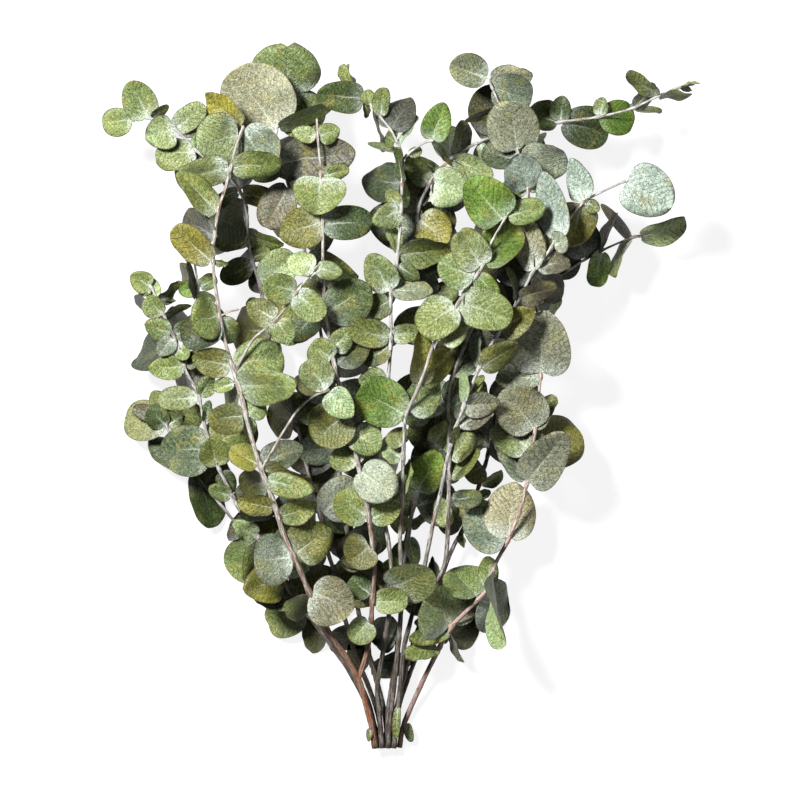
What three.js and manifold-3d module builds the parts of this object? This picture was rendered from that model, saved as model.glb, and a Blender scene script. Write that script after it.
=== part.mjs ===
// Bunch of preserved eucalyptus, lying flat: every stem, with its twigs and leaves, is one solid.
// Millimetres; +Z up from the surface it lies on, +Y from the cut ends to the tips.
import * as THREE from "three";
import Module from "manifold-3d";

const wasm = await Module();
wasm.setup();

// Scale and centre of the picture that the stems and leaves below were measured in
const MM_PER_PIXEL = 0.85;
const CENTRE_COLUMN = 400;
const CENTRE_ROW = 401;

// Leaf blade: half outline as [share of the length, share of the half width], from a short petiole
const HALF_OUTLINE = [[0.24, 0.95], [0.7, 0.93]];
const SMALL_HALF_OUTLINE = [[0.5, 1.0]];
const RIB_SHARE = 0.47;
const SMALL_WIDTH = 13;
const BLADE_THICKNESS = 0.8;
const PETIOLE_REACH = 1.8;
const PETIOLE_HALF_WIDTH = 0.9;
const FLOOR_THICKNESS = 0.7;

// The measured lengths and widths are of what shows; lobes and tips behind other leaves make the blade larger
const LENGTH_SHARE = 1.09;
const WIDTH_SHARE = 1.1;

// A blade is never much narrower or shorter than this, so one seen narrower or shorter is turned away
const NARROWEST = 0.64;
const SHORTEST = 0.76;
const MOST_ROLL = 1.25;
const MOST_LEAN = 0.85;

// Free air kept round a blade, and how far from its own root it may touch its own stem
const AIR = 0.5;
const ROOT_REACH = 7;
const PAIR_REACH = 6;
const PROBES = [0.2, 0.4, 0.6, 0.8];

// A leaf in another one's way leans and rolls by these degrees, the least turn first, and is then as much larger
// or smaller as it takes to look as large from above; where that isn't enough it is grown smaller
const LEANS = [0, 8, -8, 16, -16, 24, -24, 32, -32, 40, -40, 48, -48];
const ROLLS = [0, 14, -14, 28, -28, 42, -42];
const AGAINST = 1.7;
const ROLLING = 0.8;
const COVERING = 120;
const MOST_STRETCH = 1.3;
const LEAST_STRETCH = 0.72;
const FURTHEST_LEAN = 1.15;
const FURTHEST_ROLL = 1.4;
const GROWTHS = [1, 0.82, 0.66];

// Leaves on the hidden side: node, first and last row of the run, spacing along the rows
const HIDDEN_RUNS = [
  ["crown", 590, 250, 88], ["left_back", 600, 270, 90], ["spray_right", 600, 230, 92],
  ["far_right", 610, 280, 84], ["left_low", 610, 410, 62], ["left_outer", 580, 330, 130],
  ["right_column", 600, 300, 150], ["top_right", 600, 230, 190], ["centre", 590, 330, 130],
];
const HIDDEN_LENGTH = [34, 46];
const HIDDEN_LEAN = [-38, -14];
const FLOOR_PRESS = 2.5;
const FURTHEST_DROP = 0.78;

// Shoots, front ones first: node, radius at the foot and at the tip, then the axis as [column, row, height],
// then the leaves as [column and row of the base, column and row of the tip, width seen from above]
const SHOOTS = [
  ["centre_right", 2.9, 1.1,
   [[388, 752, 11], [391, 715, 15], [395, 680, 21], [399, 640, 30], [402, 590, 44], [400, 540, 58],
    [402, 500, 68], [403, 470, 76], [404, 440, 83], [406, 415, 88], [416, 393, 92], [425, 370, 95],
    [434, 343, 97], [446, 327, 98], [458, 303, 99], [475, 278, 100], [483, 265, 100], [490, 245, 100],
    [503, 222, 100], [508, 212, 100]],
   [[503, 222, 470, 183, 45], [507, 218, 541, 208, 24], [482, 268, 460, 235, 34],
    [485, 265, 514, 230, 36], [475, 277, 441, 265, 36], [477, 275, 495, 298, 20],
    [459, 303, 507, 318, 38], [456, 306, 422, 330, 38], [438, 340, 464, 325, 34],
    [419, 385, 421, 332, 24], [421, 386, 452, 351, 24], [405, 414, 362, 392, 45],
    [408, 413, 436, 384, 32], [402, 458, 384, 448, 24], [404, 448, 392, 432, 22],
    [402, 497, 410, 462, 14]]],
  ["forked_branch", 3.6, 1.3,
   [[375, 752, 12], [372, 732, 15], [366, 708, 21], [358, 682, 29], [345, 658, 37], [330, 636, 46],
    [318, 612, 55], [308, 590, 62], [297, 563, 69], [284, 535, 75], [275, 505, 80], [261, 467, 85],
    [250, 430, 88], [243, 400, 90], [233, 366, 92], [224, 335, 93], [219, 305, 94], [214, 263, 95],
    [217, 225, 95], [221, 205, 95], [226, 190, 95], [232, 168, 95], [236, 150, 95], [244, 128, 94]],
   [[233, 366, 281, 357, 43], [232, 366, 196, 358, 28], [309, 591, 350, 608, 48],
    [308, 592, 298, 620, 30], [294, 557, 257, 562, 44], [296, 554, 328, 530, 42],
    [276, 508, 241, 501, 21], [281, 516, 314, 506, 22], [263, 466, 307, 482, 24],
    [260, 468, 233, 450, 25], [268, 478, 308, 490, 22], [246, 416, 212, 420, 29],
    [248, 414, 252, 437, 15], [247, 416, 262, 402, 25], [240, 385, 296, 383, 33],
    [238, 383, 216, 388, 14], [220, 316, 196, 322, 42], [221, 318, 236, 338, 22],
    [214, 263, 177, 232, 28], [216, 262, 228, 264, 7], [219, 214, 182, 176, 26],
    [231, 168, 183, 178, 28], [233, 169, 278, 164, 28], [240, 135, 202, 148, 46],
    [244, 128, 266, 165, 46], [244, 128, 208, 98, 24],
    [264, 464, 300, 448, 28]]],
  ["forked_branch", 1.6, 1.1,
   [[236, 372, 92], [253, 341, 97], [277, 320, 100], [297, 293, 102], [318, 267, 102]],
   [[297, 293, 267, 283, 28], [298, 294, 322, 316, 28], [277, 320, 290, 341, 25],
    [275, 320, 250, 304, 26], [316, 268, 341, 274, 18], [316, 268, 290, 262, 24]]],
  ["forked_branch", 1.6, 1.1,
   [[262, 470, 85], [272, 452, 90], [285, 430, 94], [300, 408, 97], [315, 396, 99], [329, 390, 100]],
   [[328, 389, 307, 364, 31], [329, 391, 351, 415, 28]]],
  ["forked_branch", 1.2, 1.1,
   [[222, 316, 94], [230, 312, 96], [239, 310, 97]],
   []],
  ["forked_branch", 2.8, 1.2,
   [[358, 682, 29], [366, 657, 34], [370, 635, 41], [372, 605, 50], [374, 580, 57], [373, 550, 64],
    [369, 518, 70], [366, 500, 73], [359, 468, 76], [352, 435, 78], [345, 410, 79], [338, 380, 80],
    [334, 362, 80], [330, 340, 80], [325, 313, 80], [324, 290, 80], [323, 260, 80], [323, 228, 80],
    [321, 176, 80], [318, 138, 80], [317, 120, 80]],
   [[360, 469, 389, 494, 40], [358, 468, 341, 446, 38], [320, 176, 318, 213, 49],
    [321, 222, 283, 235, 38], [322, 224, 369, 222, 32], [326, 314, 367, 289, 42],
    [368, 518, 338, 498, 34], [370, 519, 398, 507, 22], [372, 545, 350, 562, 36],
    [373, 603, 405, 601, 25], [372, 598, 352, 580, 24], [370, 620, 352, 640, 26],
    [352, 432, 378, 448, 30], [345, 412, 318, 440, 45], [347, 415, 340, 435, 24],
    [334, 360, 313, 345, 28], [333, 350, 350, 330, 22], [322, 176, 347, 170, 16],
    [318, 138, 294, 133, 16], [319, 137, 338, 130, 20]]],
  ["right_centre", 2.9, 1.1,
   [[394, 752, 11], [397, 720, 14], [400, 690, 19], [404, 650, 27], [410, 625, 33], [416, 600, 39],
    [423, 575, 45], [428, 550, 51], [434, 520, 58], [440, 495, 63], [445, 470, 68], [450, 448, 72],
    [455, 430, 75], [463, 408, 78], [470, 390, 80], [478, 370, 82], [488, 350, 83], [497, 335, 84],
    [512, 310, 85], [517, 302, 85], [526, 285, 85], [534, 270, 85], [548, 252, 85], [565, 225, 85],
    [583, 203, 84], [600, 193, 84], [624, 182, 83]],
   [[624, 182, 668, 205, 48], [583, 203, 572, 162, 24], [584, 204, 570, 245, 38],
    [585, 203, 598, 210, 14], [533, 272, 521, 224, 28], [537, 268, 567, 262, 22],
    [534, 270, 540, 225, 10], [540, 262, 552, 225, 18], [557, 238, 545, 177, 26],
    [552, 246, 567, 240, 22], [556, 238, 560, 212, 12], [518, 300, 554, 288, 20],
    [517, 303, 509, 270, 9], [500, 332, 530, 312, 28], [497, 335, 491, 326, 5],
    [478, 369, 515, 346, 24], [478, 368, 477, 335, 12], [463, 408, 497, 402, 24],
    [465, 405, 462, 375, 12], [466, 402, 480, 375, 12], [468, 396, 490, 393, 16],
    [451, 445, 458, 428, 8], [458, 428, 492, 410, 18]]],
  ["top_right", 2.9, 1.1,
   [[391, 752, 6.5], [396, 715, 9], [404, 680, 13], [412, 650, 18], [424, 615, 24], [436, 585, 30],
    [446, 560, 35], [449, 500, 44], [449, 440, 52], [448, 400, 57], [452, 378, 60], [465, 345, 64],
    [482, 305, 68], [505, 255, 73], [524, 212, 77], [528, 192, 78], [518, 154, 80], [508, 125, 82],
    [497, 100, 83], [488, 80, 84]],
   [[516, 152, 510, 106, 48], [520, 155, 562, 170, 46], [527, 191, 517, 156, 38],
    [489, 79, 453, 66, 31], [490, 80, 529, 77, 21], [493, 88, 528, 100, 40],
    [501, 108, 467, 121, 9], [521, 152, 545, 135, 12], [527, 192, 503, 188, 15],
    [530, 191, 541, 186, 8], [452, 378, 478, 335, 30], [450, 462, 471, 435, 24],
    [449, 500, 480, 497, 18], [448, 530, 440, 500, 16], [449, 480, 478, 452, 18],
    [506, 250, 486, 230, 26], [508, 128, 483, 118, 12]]],
  ["crown", 2.9, 1.2,
   [[388, 752, 2], [384, 715, 2.6], [375, 680, 5], [360, 625, 9], [350, 560, 13], [342, 500, 16],
    [336, 450, 18], [329, 400, 20], [322, 345, 22], [316, 310, 26], [308, 270, 34], [302, 240, 42],
    [296, 212, 50], [288, 183, 60], [281, 162, 67], [276, 142, 73], [279, 115, 72], [288, 92, 64]],
   [[275, 130, 236, 76, 66], [288, 92, 288, 50, 64], [289, 93, 309, 131, 46],
    [277, 128, 332, 104, 10], [281, 162, 350, 153, 45], [281, 162, 255, 178, 24],
    [290, 185, 268, 225, 34], [305, 255, 355, 275, 22], [336, 450, 300, 450, 30],
    [316, 312, 292, 338, 26]]],
  ["centre", 2.9, 1.1,
   [[382, 752, 11], [379, 715, 14], [377, 690, 19], [381, 665, 26], [385, 640, 33], [389, 615, 40],
    [392, 580, 49], [388, 540, 57], [380, 500, 63], [376, 470, 67], [378, 440, 70], [383, 410, 72],
    [388, 380, 74], [391, 338, 75], [391, 293, 75], [397, 262, 75], [401, 215, 75], [402, 185, 75],
    [403, 160, 75], [393, 134, 75], [381, 118, 74], [369, 103, 73], [352, 90, 72]],
   [[391, 293, 371, 257, 30], [389, 338, 352, 330, 27], [391, 336, 420, 330, 18],
    [387, 379, 361, 381, 22], [399, 254, 391, 222, 14], [400, 256, 446, 247, 26],
    [397, 265, 418, 278, 16], [392, 290, 430, 292, 20], [391, 300, 370, 312, 24],
    [400, 210, 376, 222, 24], [401, 209, 387, 192, 16], [402, 207, 399, 178, 12],
    [402, 182, 397, 150, 10], [399, 152, 370, 144, 6], [397, 143, 385, 138, 22],
    [398, 146, 416, 118, 7], [381, 117, 382, 90, 16], [371, 107, 366, 92, 14],
    [373, 108, 384, 146, 8], [363, 100, 322, 95, 30], [352, 90, 342, 67, 10],
    [353, 90, 349, 65, 6], [364, 101, 365, 117, 7], [389, 345, 365, 362, 24]]],
  ["centre", 1.4, 1.1,
   [[403, 160, 75], [411, 152, 78], [425, 143, 80], [433, 141, 81]],
   [[432, 142, 443, 106, 27], [431, 142, 449, 163, 8], [408, 156, 421, 150, 10]]],
  ["right_column", 2.9, 1.2,
   [[399.5, 752, 2], [403.5, 730, 3.6], [416, 700, 9], [430, 670, 15], [450, 632, 24], [470, 610, 30],
    [488, 590, 35], [496, 565, 40], [508, 542, 45], [520, 512, 50], [527, 485, 54], [535, 435, 58],
    [540, 385, 60], [541, 374, 60], [539, 330, 61], [537, 300, 61], [540, 270, 60]],
   [[541, 374, 543, 317, 56], [540, 377, 499, 378, 26], [535, 431, 508, 391, 48],
    [536, 431, 552, 397, 20], [525, 483, 562, 436, 40], [526, 482, 506, 442, 28],
    [508, 541, 515, 488, 48], [506, 541, 468, 518, 44], [488, 590, 490, 560, 19],
    [492, 577, 501, 641, 13], [449, 630, 437, 590, 56], [448, 631, 412, 640, 18],
    [452, 629, 472, 582, 40], [450, 634, 464, 662, 5], [448, 634, 425, 648, 10],
    [440, 650, 408, 655, 16]]],
  ["left_outer", 2.8, 1.1,
   [[379, 752, 6.5], [373, 725, 9], [360, 695, 15], [345, 668, 22], [325, 640, 29], [312, 622, 33],
    [300, 608, 37], [288, 592, 40], [276, 570, 44], [262, 545, 48], [252, 530, 50], [240, 512, 52],
    [230, 492, 54], [218, 468, 56], [210, 445, 58], [203, 420, 59], [199, 398, 60], [193, 385, 60],
    [184, 367, 60], [178, 348, 60], [172, 333, 60], [164, 316, 60], [157, 300, 59], [150, 286, 58],
    [142, 277, 57]],
   [[199, 398, 161, 400, 23], [201, 398, 211, 376, 16], [184, 367, 151, 368, 23],
    [186, 366, 202, 352, 16], [173, 336, 159, 354, 18], [178, 348, 188, 358, 16],
    [172, 333, 146, 325, 20], [173, 335, 199, 325, 20], [164, 315, 147, 299, 20],
    [165, 316, 188, 304, 10], [152, 287, 132, 275, 21], [157, 298, 147, 278, 15],
    [159, 300, 180, 283, 11], [158, 300, 178, 297, 10], [150, 287, 138, 293, 12],
    [218, 468, 210, 440, 29], [220, 470, 232, 490, 18], [203, 425, 208, 402, 12],
    [232, 497, 210, 489, 17], [256, 538, 236, 525, 20], [258, 541, 250, 583, 20],
    [294, 601, 254, 592, 30]]],
  ["left_outer", 1.5, 1.1,
   [[184, 367, 60], [190, 335, 64], [194, 310, 67], [198, 287, 69], [195, 258, 70], [204, 224, 70]],
   [[197, 288, 180, 291, 17], [199, 287, 215, 278, 15], [194, 298, 188, 264, 16],
    [195, 258, 181, 243, 14], [196, 300, 214, 300, 16]]],
  ["spray_right", 2.8, 1.1,
   [[385, 752, 6.5], [388, 715, 9], [393, 680, 12], [398, 645, 15], [402, 600, 19], [405, 560, 23],
    [409, 530, 26], [416, 497, 30], [430, 455, 34], [438, 415, 37], [440, 380, 39], [437, 340, 41],
    [434, 300, 43], [424, 255, 46], [417, 217, 49], [429, 184, 51], [449, 160, 53], [482, 140, 55],
    [520, 131, 56], [558, 122, 57], [600, 116, 59], [632, 108, 61], [658, 96, 62], [676, 88, 62],
    [694, 84, 62]],
   [[431, 182, 468, 190, 38], [429, 184, 408, 160, 22], [417, 217, 448, 240, 34],
    [440, 168, 412, 155, 10], [453, 158, 491, 173, 24], [458, 154, 463, 122, 20],
    [452, 160, 480, 178, 8], [482, 142, 487, 165, 12], [560, 121, 563, 97, 20],
    [562, 122, 606, 130, 40], [560, 124, 530, 113, 30], [600, 115, 603, 98, 14],
    [598, 115, 634, 116, 33], [633, 107, 655, 86, 18], [658, 95, 628, 76, 14],
    [633, 110, 666, 107, 7], [676, 88, 697, 84, 4], [678, 88, 692, 90, 3],
    [659, 97, 690, 96, 4], [415, 493, 436, 457, 34], [430, 455, 430, 411, 40],
    [432, 448, 452, 420, 20], [405, 562, 383, 585, 27], [408, 534, 392, 515, 19],
    [410, 530, 430, 515, 10], [407, 540, 399, 572, 24], [408, 536, 415, 568, 14],
    [434, 295, 420, 270, 24], [434, 295, 457, 288, 22]]],
  ["left_back", 2.8, 1.1,
   [[382, 752, 2], [378, 720, 3], [368, 690, 5], [356, 660, 8], [344, 620, 12], [333, 573, 16],
    [326, 550, 18], [320, 518, 20], [311, 490, 22], [300, 440, 25], [286, 395, 27], [272, 340, 28],
    [263, 305, 29], [259, 285, 30], [250, 255, 31], [246, 235, 33], [246, 215, 36], [240, 192, 42],
    [222, 172, 50], [196, 150, 56], [174, 128, 59], [149, 118, 60], [132, 120, 59]],
   [[133, 120, 104, 121, 27], [149, 118, 131, 83, 32], [174, 128, 147, 136, 32],
    [150, 118, 166, 105, 8], [175, 127, 202, 106, 22], [178, 130, 214, 112, 26],
    [196, 150, 158, 155, 30], [197, 149, 197, 135, 12], [240, 192, 275, 200, 22],
    [238, 190, 206, 200, 12], [246, 215, 232, 218, 18], [246, 229, 216, 244, 20],
    [247, 235, 280, 243, 18], [251, 256, 268, 250, 14], [251, 261, 222, 278, 24],
    [259, 284, 291, 256, 34], [262, 300, 250, 312, 20], [262, 300, 283, 318, 26],
    [320, 516, 352, 485, 40], [321, 518, 349, 526, 22], [333, 574, 357, 566, 18]]],
  ["left_low", 2.8, 1.1,
   [[376, 752, 2], [372, 720, 3], [361, 690, 5], [345, 662, 8], [322, 632, 11], [300, 606, 14],
    [280, 575, 17], [262, 548, 19], [248, 535, 20], [234, 524, 21], [221, 508, 22], [206, 490, 23],
    [190, 469, 24], [178, 450, 25], [170, 437, 25], [164, 425, 25], [160, 408, 25], [157, 397, 25]],
   [[189, 468, 150, 440, 28], [192, 472, 214, 523, 30], [164, 428, 148, 410, 22],
    [164, 426, 181, 415, 18], [162, 410, 152, 393, 18], [162, 418, 133, 410, 15],
    [174, 443, 198, 433, 12], [180, 453, 200, 455, 20]]],
  ["far_right", 2.8, 1.1,
   [[394, 752, 2], [398, 715, 3], [407, 685, 5], [418, 655, 8], [430, 612, 11], [440, 586, 13],
    [449, 560, 15], [457, 542, 16], [464, 530, 17], [478, 492, 19], [490, 450, 21], [497, 408, 23],
    [505, 360, 25], [520, 322, 27], [540, 296, 29], [556, 280, 31], [573, 267, 33], [598, 252, 35],
    [632, 237, 37], [643, 235, 37]],
   [[641, 236, 685, 227, 18], [603, 250, 597, 283, 21], [600, 251, 619, 215, 10],
    [634, 236, 614, 272, 8], [633, 236, 608, 204, 7], [556, 281, 550, 315, 10],
    [462, 532, 464, 548, 8], [481, 485, 503, 477, 10], [475, 500, 490, 492, 10],
    [498, 402, 510, 385, 16], [490, 450, 480, 432, 10], [486, 465, 468, 478, 24]]],
];

let seed = 20486;
function draw(low, high) {
  seed = (seed * 16807) % 2147483647;
  return low + (high - low) * (seed / 2147483647);
}

const across = (column) => (column - CENTRE_COLUMN) * MM_PER_PIXEL;
const upward = (row) => (CENTRE_ROW - row) * MM_PER_PIXEL;

function makeShoot([node, foot, tip, route, leaves]) {
  const axis = route.map(([column, row, height]) => new THREE.Vector3(across(column), upward(row), height));
  const lengths = [0];
  for (let i = 1; i < axis.length; i += 1) lengths.push(lengths[i - 1] + axis[i].distanceTo(axis[i - 1]));
  const whole = lengths[lengths.length - 1];
  const radii = lengths.map((length) => foot + (tip - foot) * (length / whole));
  return { node, axis, radii, leaves };
}

// Point of the shoot's axis that lies nearest to a point seen from above
function nearestOnAxis(shoot, x, y) {
  let best = null;
  let bestDistance = Infinity;
  for (let i = 1; i < shoot.axis.length; i += 1) {
    const a = shoot.axis[i - 1];
    const b = shoot.axis[i];
    const square = (b.x - a.x) ** 2 + (b.y - a.y) ** 2;
    const share = Math.min(1, Math.max(0, ((x - a.x) * (b.x - a.x) + (y - a.y) * (b.y - a.y)) / square));
    const point = a.clone().lerp(b, share);
    const distance = Math.hypot(point.x - x, point.y - y);
    if (distance < bestDistance) {
      bestDistance = distance;
      best = { point, radius: shoot.radii[i - 1] };
    }
  }
  return best;
}

// Tapered four-sided stem with a flat underside
function stemGeometry(shoot) {
  const sides = 4;
  const positions = [];
  const index = [];
  const last = shoot.axis.length - 1;
  shoot.axis.forEach((centre, i) => {
    const before = shoot.axis[Math.max(0, i - 1)];
    const after = shoot.axis[Math.min(last, i + 1)];
    const along = after.clone().sub(before).normalize();
    const side = new THREE.Vector3(along.y, -along.x, 0).normalize();
    const up = side.clone().cross(along);
    for (let k = 0; k < sides; k += 1) {
      const angle = ((k + 0.5) * 2 * Math.PI) / sides - Math.PI / 2;
      const point = centre.clone()
        .addScaledVector(side, shoot.radii[i] * Math.cos(angle))
        .addScaledVector(up, shoot.radii[i] * Math.sin(angle));
      positions.push(point.x, point.y, Math.max(0, point.z));
    }
  });
  for (let i = 0; i < last; i += 1) {
    for (let k = 0; k < sides; k += 1) {
      const here = i * sides + k;
      const next = i * sides + ((k + 1) % sides);
      index.push(here, next + sides, next, here, here + sides, next + sides);
    }
  }
  for (let k = 1; k < sides - 1; k += 1) {
    index.push(0, k, k + 1);
    index.push(last * sides, last * sides + k + 1, last * sides + k);
  }
  return { positions, index };
}

// How a leaf grows: from its base on the axis towards its tip, as long and as wide as it looks from above, with its
// tip turned up where rise is 1 and down where it is -1
function growth(base, radius, tipX, tipY, shownWidth, rise) {
  const run = new THREE.Vector2(tipX - base.x, tipY - base.y);
  const seenLength = run.length() * LENGTH_SHARE;
  const seenWidth = shownWidth * WIDTH_SHARE;
  const length = Math.max(seenLength, SHORTEST * seenWidth);
  const width = Math.max(seenWidth, NARROWEST * seenLength);
  const rollSide = draw(0, 1) < 0.5 ? 1 : -1;
  const lean = rise * (Math.min(MOST_LEAN, Math.acos(seenLength / length)) + draw(-0.05, 0.16));
  const roll = rollSide * Math.min(MOST_ROLL, Math.acos(seenWidth / width)) + draw(-0.1, 0.1);
  const cup = draw(0.04, 0.28);
  const curl = draw(-0.1, 0.08);
  return { base, radius, direction: run.normalize(), length, width, lean, roll, cup, curl, rise };
}

// Turns to try, the least effort first; a leaf with its tip up would rather rise further, and one with it down drop
const effort = ([lean, roll], rise) => (lean * rise < 0 ? AGAINST : 1) * Math.abs(lean) + ROLLING * Math.abs(roll);
const turns = LEANS.flatMap((lean) => ROLLS.map((roll) => [lean, roll]));
const WAYS = new Map([1, -1].map((rise) => [rise, [...turns].sort((a, b) => effort(a, rise) - effort(b, rise))]));

// How much larger or smaller a leaf is that looks as large after its turn from the first angle to the second
function stretch(before, after) {
  return Math.min(MOST_STRETCH, Math.max(LEAST_STRETCH, Math.cos(before) / Math.cos(after)));
}

// Corners of the blade's middle surface: the root in the stem, round the outline, then the point on the midrib
function bladeCorners(leaf, lean, roll, scale) {
  const { x, y } = leaf.direction;
  const along = new THREE.Vector3(x * Math.cos(lean), y * Math.cos(lean), Math.sin(lean));
  const flat = new THREE.Vector3(y, -x, 0);
  const upright = flat.clone().cross(along);
  const normal = upright.clone().multiplyScalar(Math.cos(roll)).addScaledVector(flat, Math.sin(roll));
  const side = flat.clone().multiplyScalar(Math.cos(roll)).addScaledVector(upright, -Math.sin(roll));
  const length = leaf.length * scale * stretch(leaf.lean, lean);
  const half = (leaf.width * scale * stretch(leaf.roll, roll)) / 2;
  const corner = (share, offset) => leaf.base.clone()
    .addScaledVector(along, length * share)
    .addScaledVector(side, offset)
    .addScaledVector(normal, (leaf.cup * offset * offset) / half - leaf.curl * length * share * share);
  const outline = leaf.width < SMALL_WIDTH ? SMALL_HALF_OUTLINE : HALF_OUTLINE;
  const neck = (leaf.radius + PETIOLE_REACH) / length;
  const corners = [corner(0, 0), corner(neck, PETIOLE_HALF_WIDTH)];
  outline.forEach(([share, wide]) => corners.push(corner(share, half * wide)));
  corners.push(corner(1, 0));
  [...outline].reverse().forEach(([share, wide]) => corners.push(corner(share, -half * wide)));
  corners.push(corner(neck, -PETIOLE_HALF_WIDTH), corner(RIB_SHARE, 0));
  corners.forEach((point) => {
    point.z = Math.max(point.z, BLADE_THICKNESS / 2);
  });
  return { corners, normal };
}

// Triangles of the middle surface: the petiole, then a fan round the point on the midrib
function bladeFaces(count) {
  const rib = count - 1;
  const faces = [[0, 1, rib - 1]];
  for (let i = 1; i < rib; i += 1) faces.push([i, i + 1 === rib ? 1 : i + 1, rib]);
  return faces;
}

// What the clearance tests need of a blade: its triangles, points spread over it and its edges
function makeBlade(node, leaf, lean, roll, scale) {
  const { corners, normal } = bladeCorners(leaf, lean, roll, scale);
  const faces = bladeFaces(corners.length);
  const triangles = faces.map(([a, b, c]) => new THREE.Triangle(corners[a], corners[b], corners[c]));
  const edges = faces.flatMap(([a, b, c]) => [[corners[a], corners[b]], [corners[b], corners[c]]]);
  const probes = [...corners, ...edges.flatMap(([a, b]) => PROBES.map((share) => a.clone().lerp(b, share)))];
  const box = new THREE.Box3().setFromPoints(corners).expandByScalar(AIR + BLADE_THICKNESS);
  return { node, base: leaf.base, corners, normal, faces, triangles, probes, edges, box };
}

const scratch = new THREE.Vector3();
function nearTriangles(points, triangles, distance) {
  return points.some((point) => triangles.some((triangle) => {
    triangle.closestPointToPoint(point, scratch);
    return scratch.distanceToSquared(point) < distance * distance;
  }));
}

const ray = new THREE.Ray();
function edgesCross(edges, triangles) {
  return edges.some(([from, to]) => {
    const length = from.distanceTo(to);
    ray.origin.copy(from);
    ray.direction.copy(to).sub(from).divideScalar(length);
    return triangles.some((triangle) => {
      const hit = ray.intersectTriangle(triangle.a, triangle.b, triangle.c, false, scratch);
      return hit !== null && hit.distanceTo(from) < length;
    });
  });
}

function bladesClash(one, other) {
  if (!one.box.intersectsBox(other.box)) return false;
  const close = BLADE_THICKNESS + AIR;
  if (one.node === other.node) {
    const outer = (blade) => blade.triangles.slice(1);
    const away = (point) => point.distanceTo(other.base) > ROOT_REACH && point.distanceTo(one.base) > ROOT_REACH;
    const tips = (blade) => blade.probes.filter(away);
    return nearTriangles(tips(one), outer(other), close) || nearTriangles(tips(other), outer(one), close)
      || edgesCross(one.edges.slice(2), outer(other)) || edgesCross(other.edges.slice(2), outer(one));
  }
  return nearTriangles(one.probes, other.triangles, close) || nearTriangles(other.probes, one.triangles, close)
    || edgesCross(one.edges, other.triangles) || edgesCross(other.edges, one.triangles);
}

// Points along every shoot, close enough together to stand for the whole stem
function stemPoints(shoot) {
  const points = [];
  for (let i = 1; i < shoot.axis.length; i += 1) {
    const steps = Math.ceil(shoot.axis[i].distanceTo(shoot.axis[i - 1]) / 3);
    for (let k = 0; k < steps; k += 1) {
      points.push({
        node: shoot.node,
        place: shoot.axis[i - 1].clone().lerp(shoot.axis[i], k / steps),
        radius: shoot.radii[i - 1],
      });
    }
  }
  return points;
}

function hitsStem(blade, points) {
  return points.some(({ node, place, radius }) => {
    if (blade.box.distanceToPoint(place) > radius) return false;
    if (node === blade.node && place.distanceTo(blade.base) < ROOT_REACH) return false;
    return nearTriangles([place], blade.triangles, radius + BLADE_THICKNESS / 2 + AIR);
  });
}

// Share of a blade that lies over other blades, seen from above
function coverShare(blade, others) {
  const over = blade.probes.filter((point) => others.some(({ box, triangles }) => {
    if (point.x < box.min.x || point.x > box.max.x || point.y < box.min.y || point.y > box.max.y) return false;
    return triangles.some(({ a, b, c }) => {
      const whole = (b.x - a.x) * (c.y - a.y) - (c.x - a.x) * (b.y - a.y);
      const u = ((point.x - a.x) * (c.y - a.y) - (c.x - a.x) * (point.y - a.y)) / whole;
      const v = ((b.x - a.x) * (point.y - a.y) - (point.x - a.x) * (b.y - a.y)) / whole;
      return u >= 0 && v >= 0 && u + v <= 1 && point.z > a.z + u * (b.z - a.z) + v * (c.z - a.z);
    });
  }));
  return over.length / blade.probes.length;
}

// Best way for the leaf to grow that is clear of every stem and of the leaves already there: front leaves grow
// first, so a later one turns to lie under them
function placeLeaf(node, leaf, placed, points) {
  for (const scale of GROWTHS) {
    let best = null;
    let least = Infinity;
    for (const way of WAYS.get(leaf.rise)) {
      const turning = effort(way, leaf.rise);
      if (turning >= least) break;
      const [extraLean, extraRoll] = way;
      const lean = leaf.lean + THREE.MathUtils.degToRad(extraLean);
      const roll = leaf.roll + THREE.MathUtils.degToRad(extraRoll);
      const tooFar = Math.abs(lean) > FURTHEST_LEAN || Math.abs(roll) > FURTHEST_ROLL;
      if (tooFar && extraLean * lean + extraRoll * roll > 0) continue;
      const blade = makeBlade(node, leaf, lean, roll, scale);
      const cost = turning + COVERING * coverShare(blade, placed);
      if (cost < least && !hitsStem(blade, points) && !placed.some((other) => bladesClash(blade, other))) {
        best = blade;
        least = cost;
      }
    }
    if (best) return best;
  }
  return null;
}

// Closed blade: the middle surface thickened to both sides, split alike on both faces
function bladeGeometry({ corners, normal, faces }) {
  const rim = corners.length - 1;
  const positions = [];
  const index = [];
  const turned = normal.z < 0;
  const face = turned ? normal.clone().negate() : normal;
  corners.forEach((point) => {
    const over = point.clone().addScaledVector(face, BLADE_THICKNESS / 2);
    const under = point.clone().addScaledVector(face, -BLADE_THICKNESS / 2);
    if (point.z <= BLADE_THICKNESS / 2) under.z = 0;
    under.z = Math.max(0, under.z);
    over.z = Math.max(over.z, under.z + (under.z === 0 ? FLOOR_THICKNESS : 0));
    positions.push(over.x, over.y, over.z, under.x, under.y, under.z);
  });
  const add = (a, b, c) => (turned ? index.push(a, c, b) : index.push(a, b, c));
  faces.forEach(([a, b, c]) => {
    add(2 * a, 2 * b, 2 * c);
    add(2 * a + 1, 2 * c + 1, 2 * b + 1);
  });
  for (let i = 0; i < rim; i += 1) {
    const next = (i + 1) % rim;
    add(2 * i, 2 * i + 1, 2 * next + 1);
    add(2 * i, 2 * next + 1, 2 * next);
  }
  return { positions, index };
}

function toSolid({ positions, index }) {
  return new wasm.Manifold(new wasm.Mesh({
    numProp: 3,
    vertProperties: new Float32Array(positions),
    triVerts: new Uint32Array(index),
  }));
}

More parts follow.
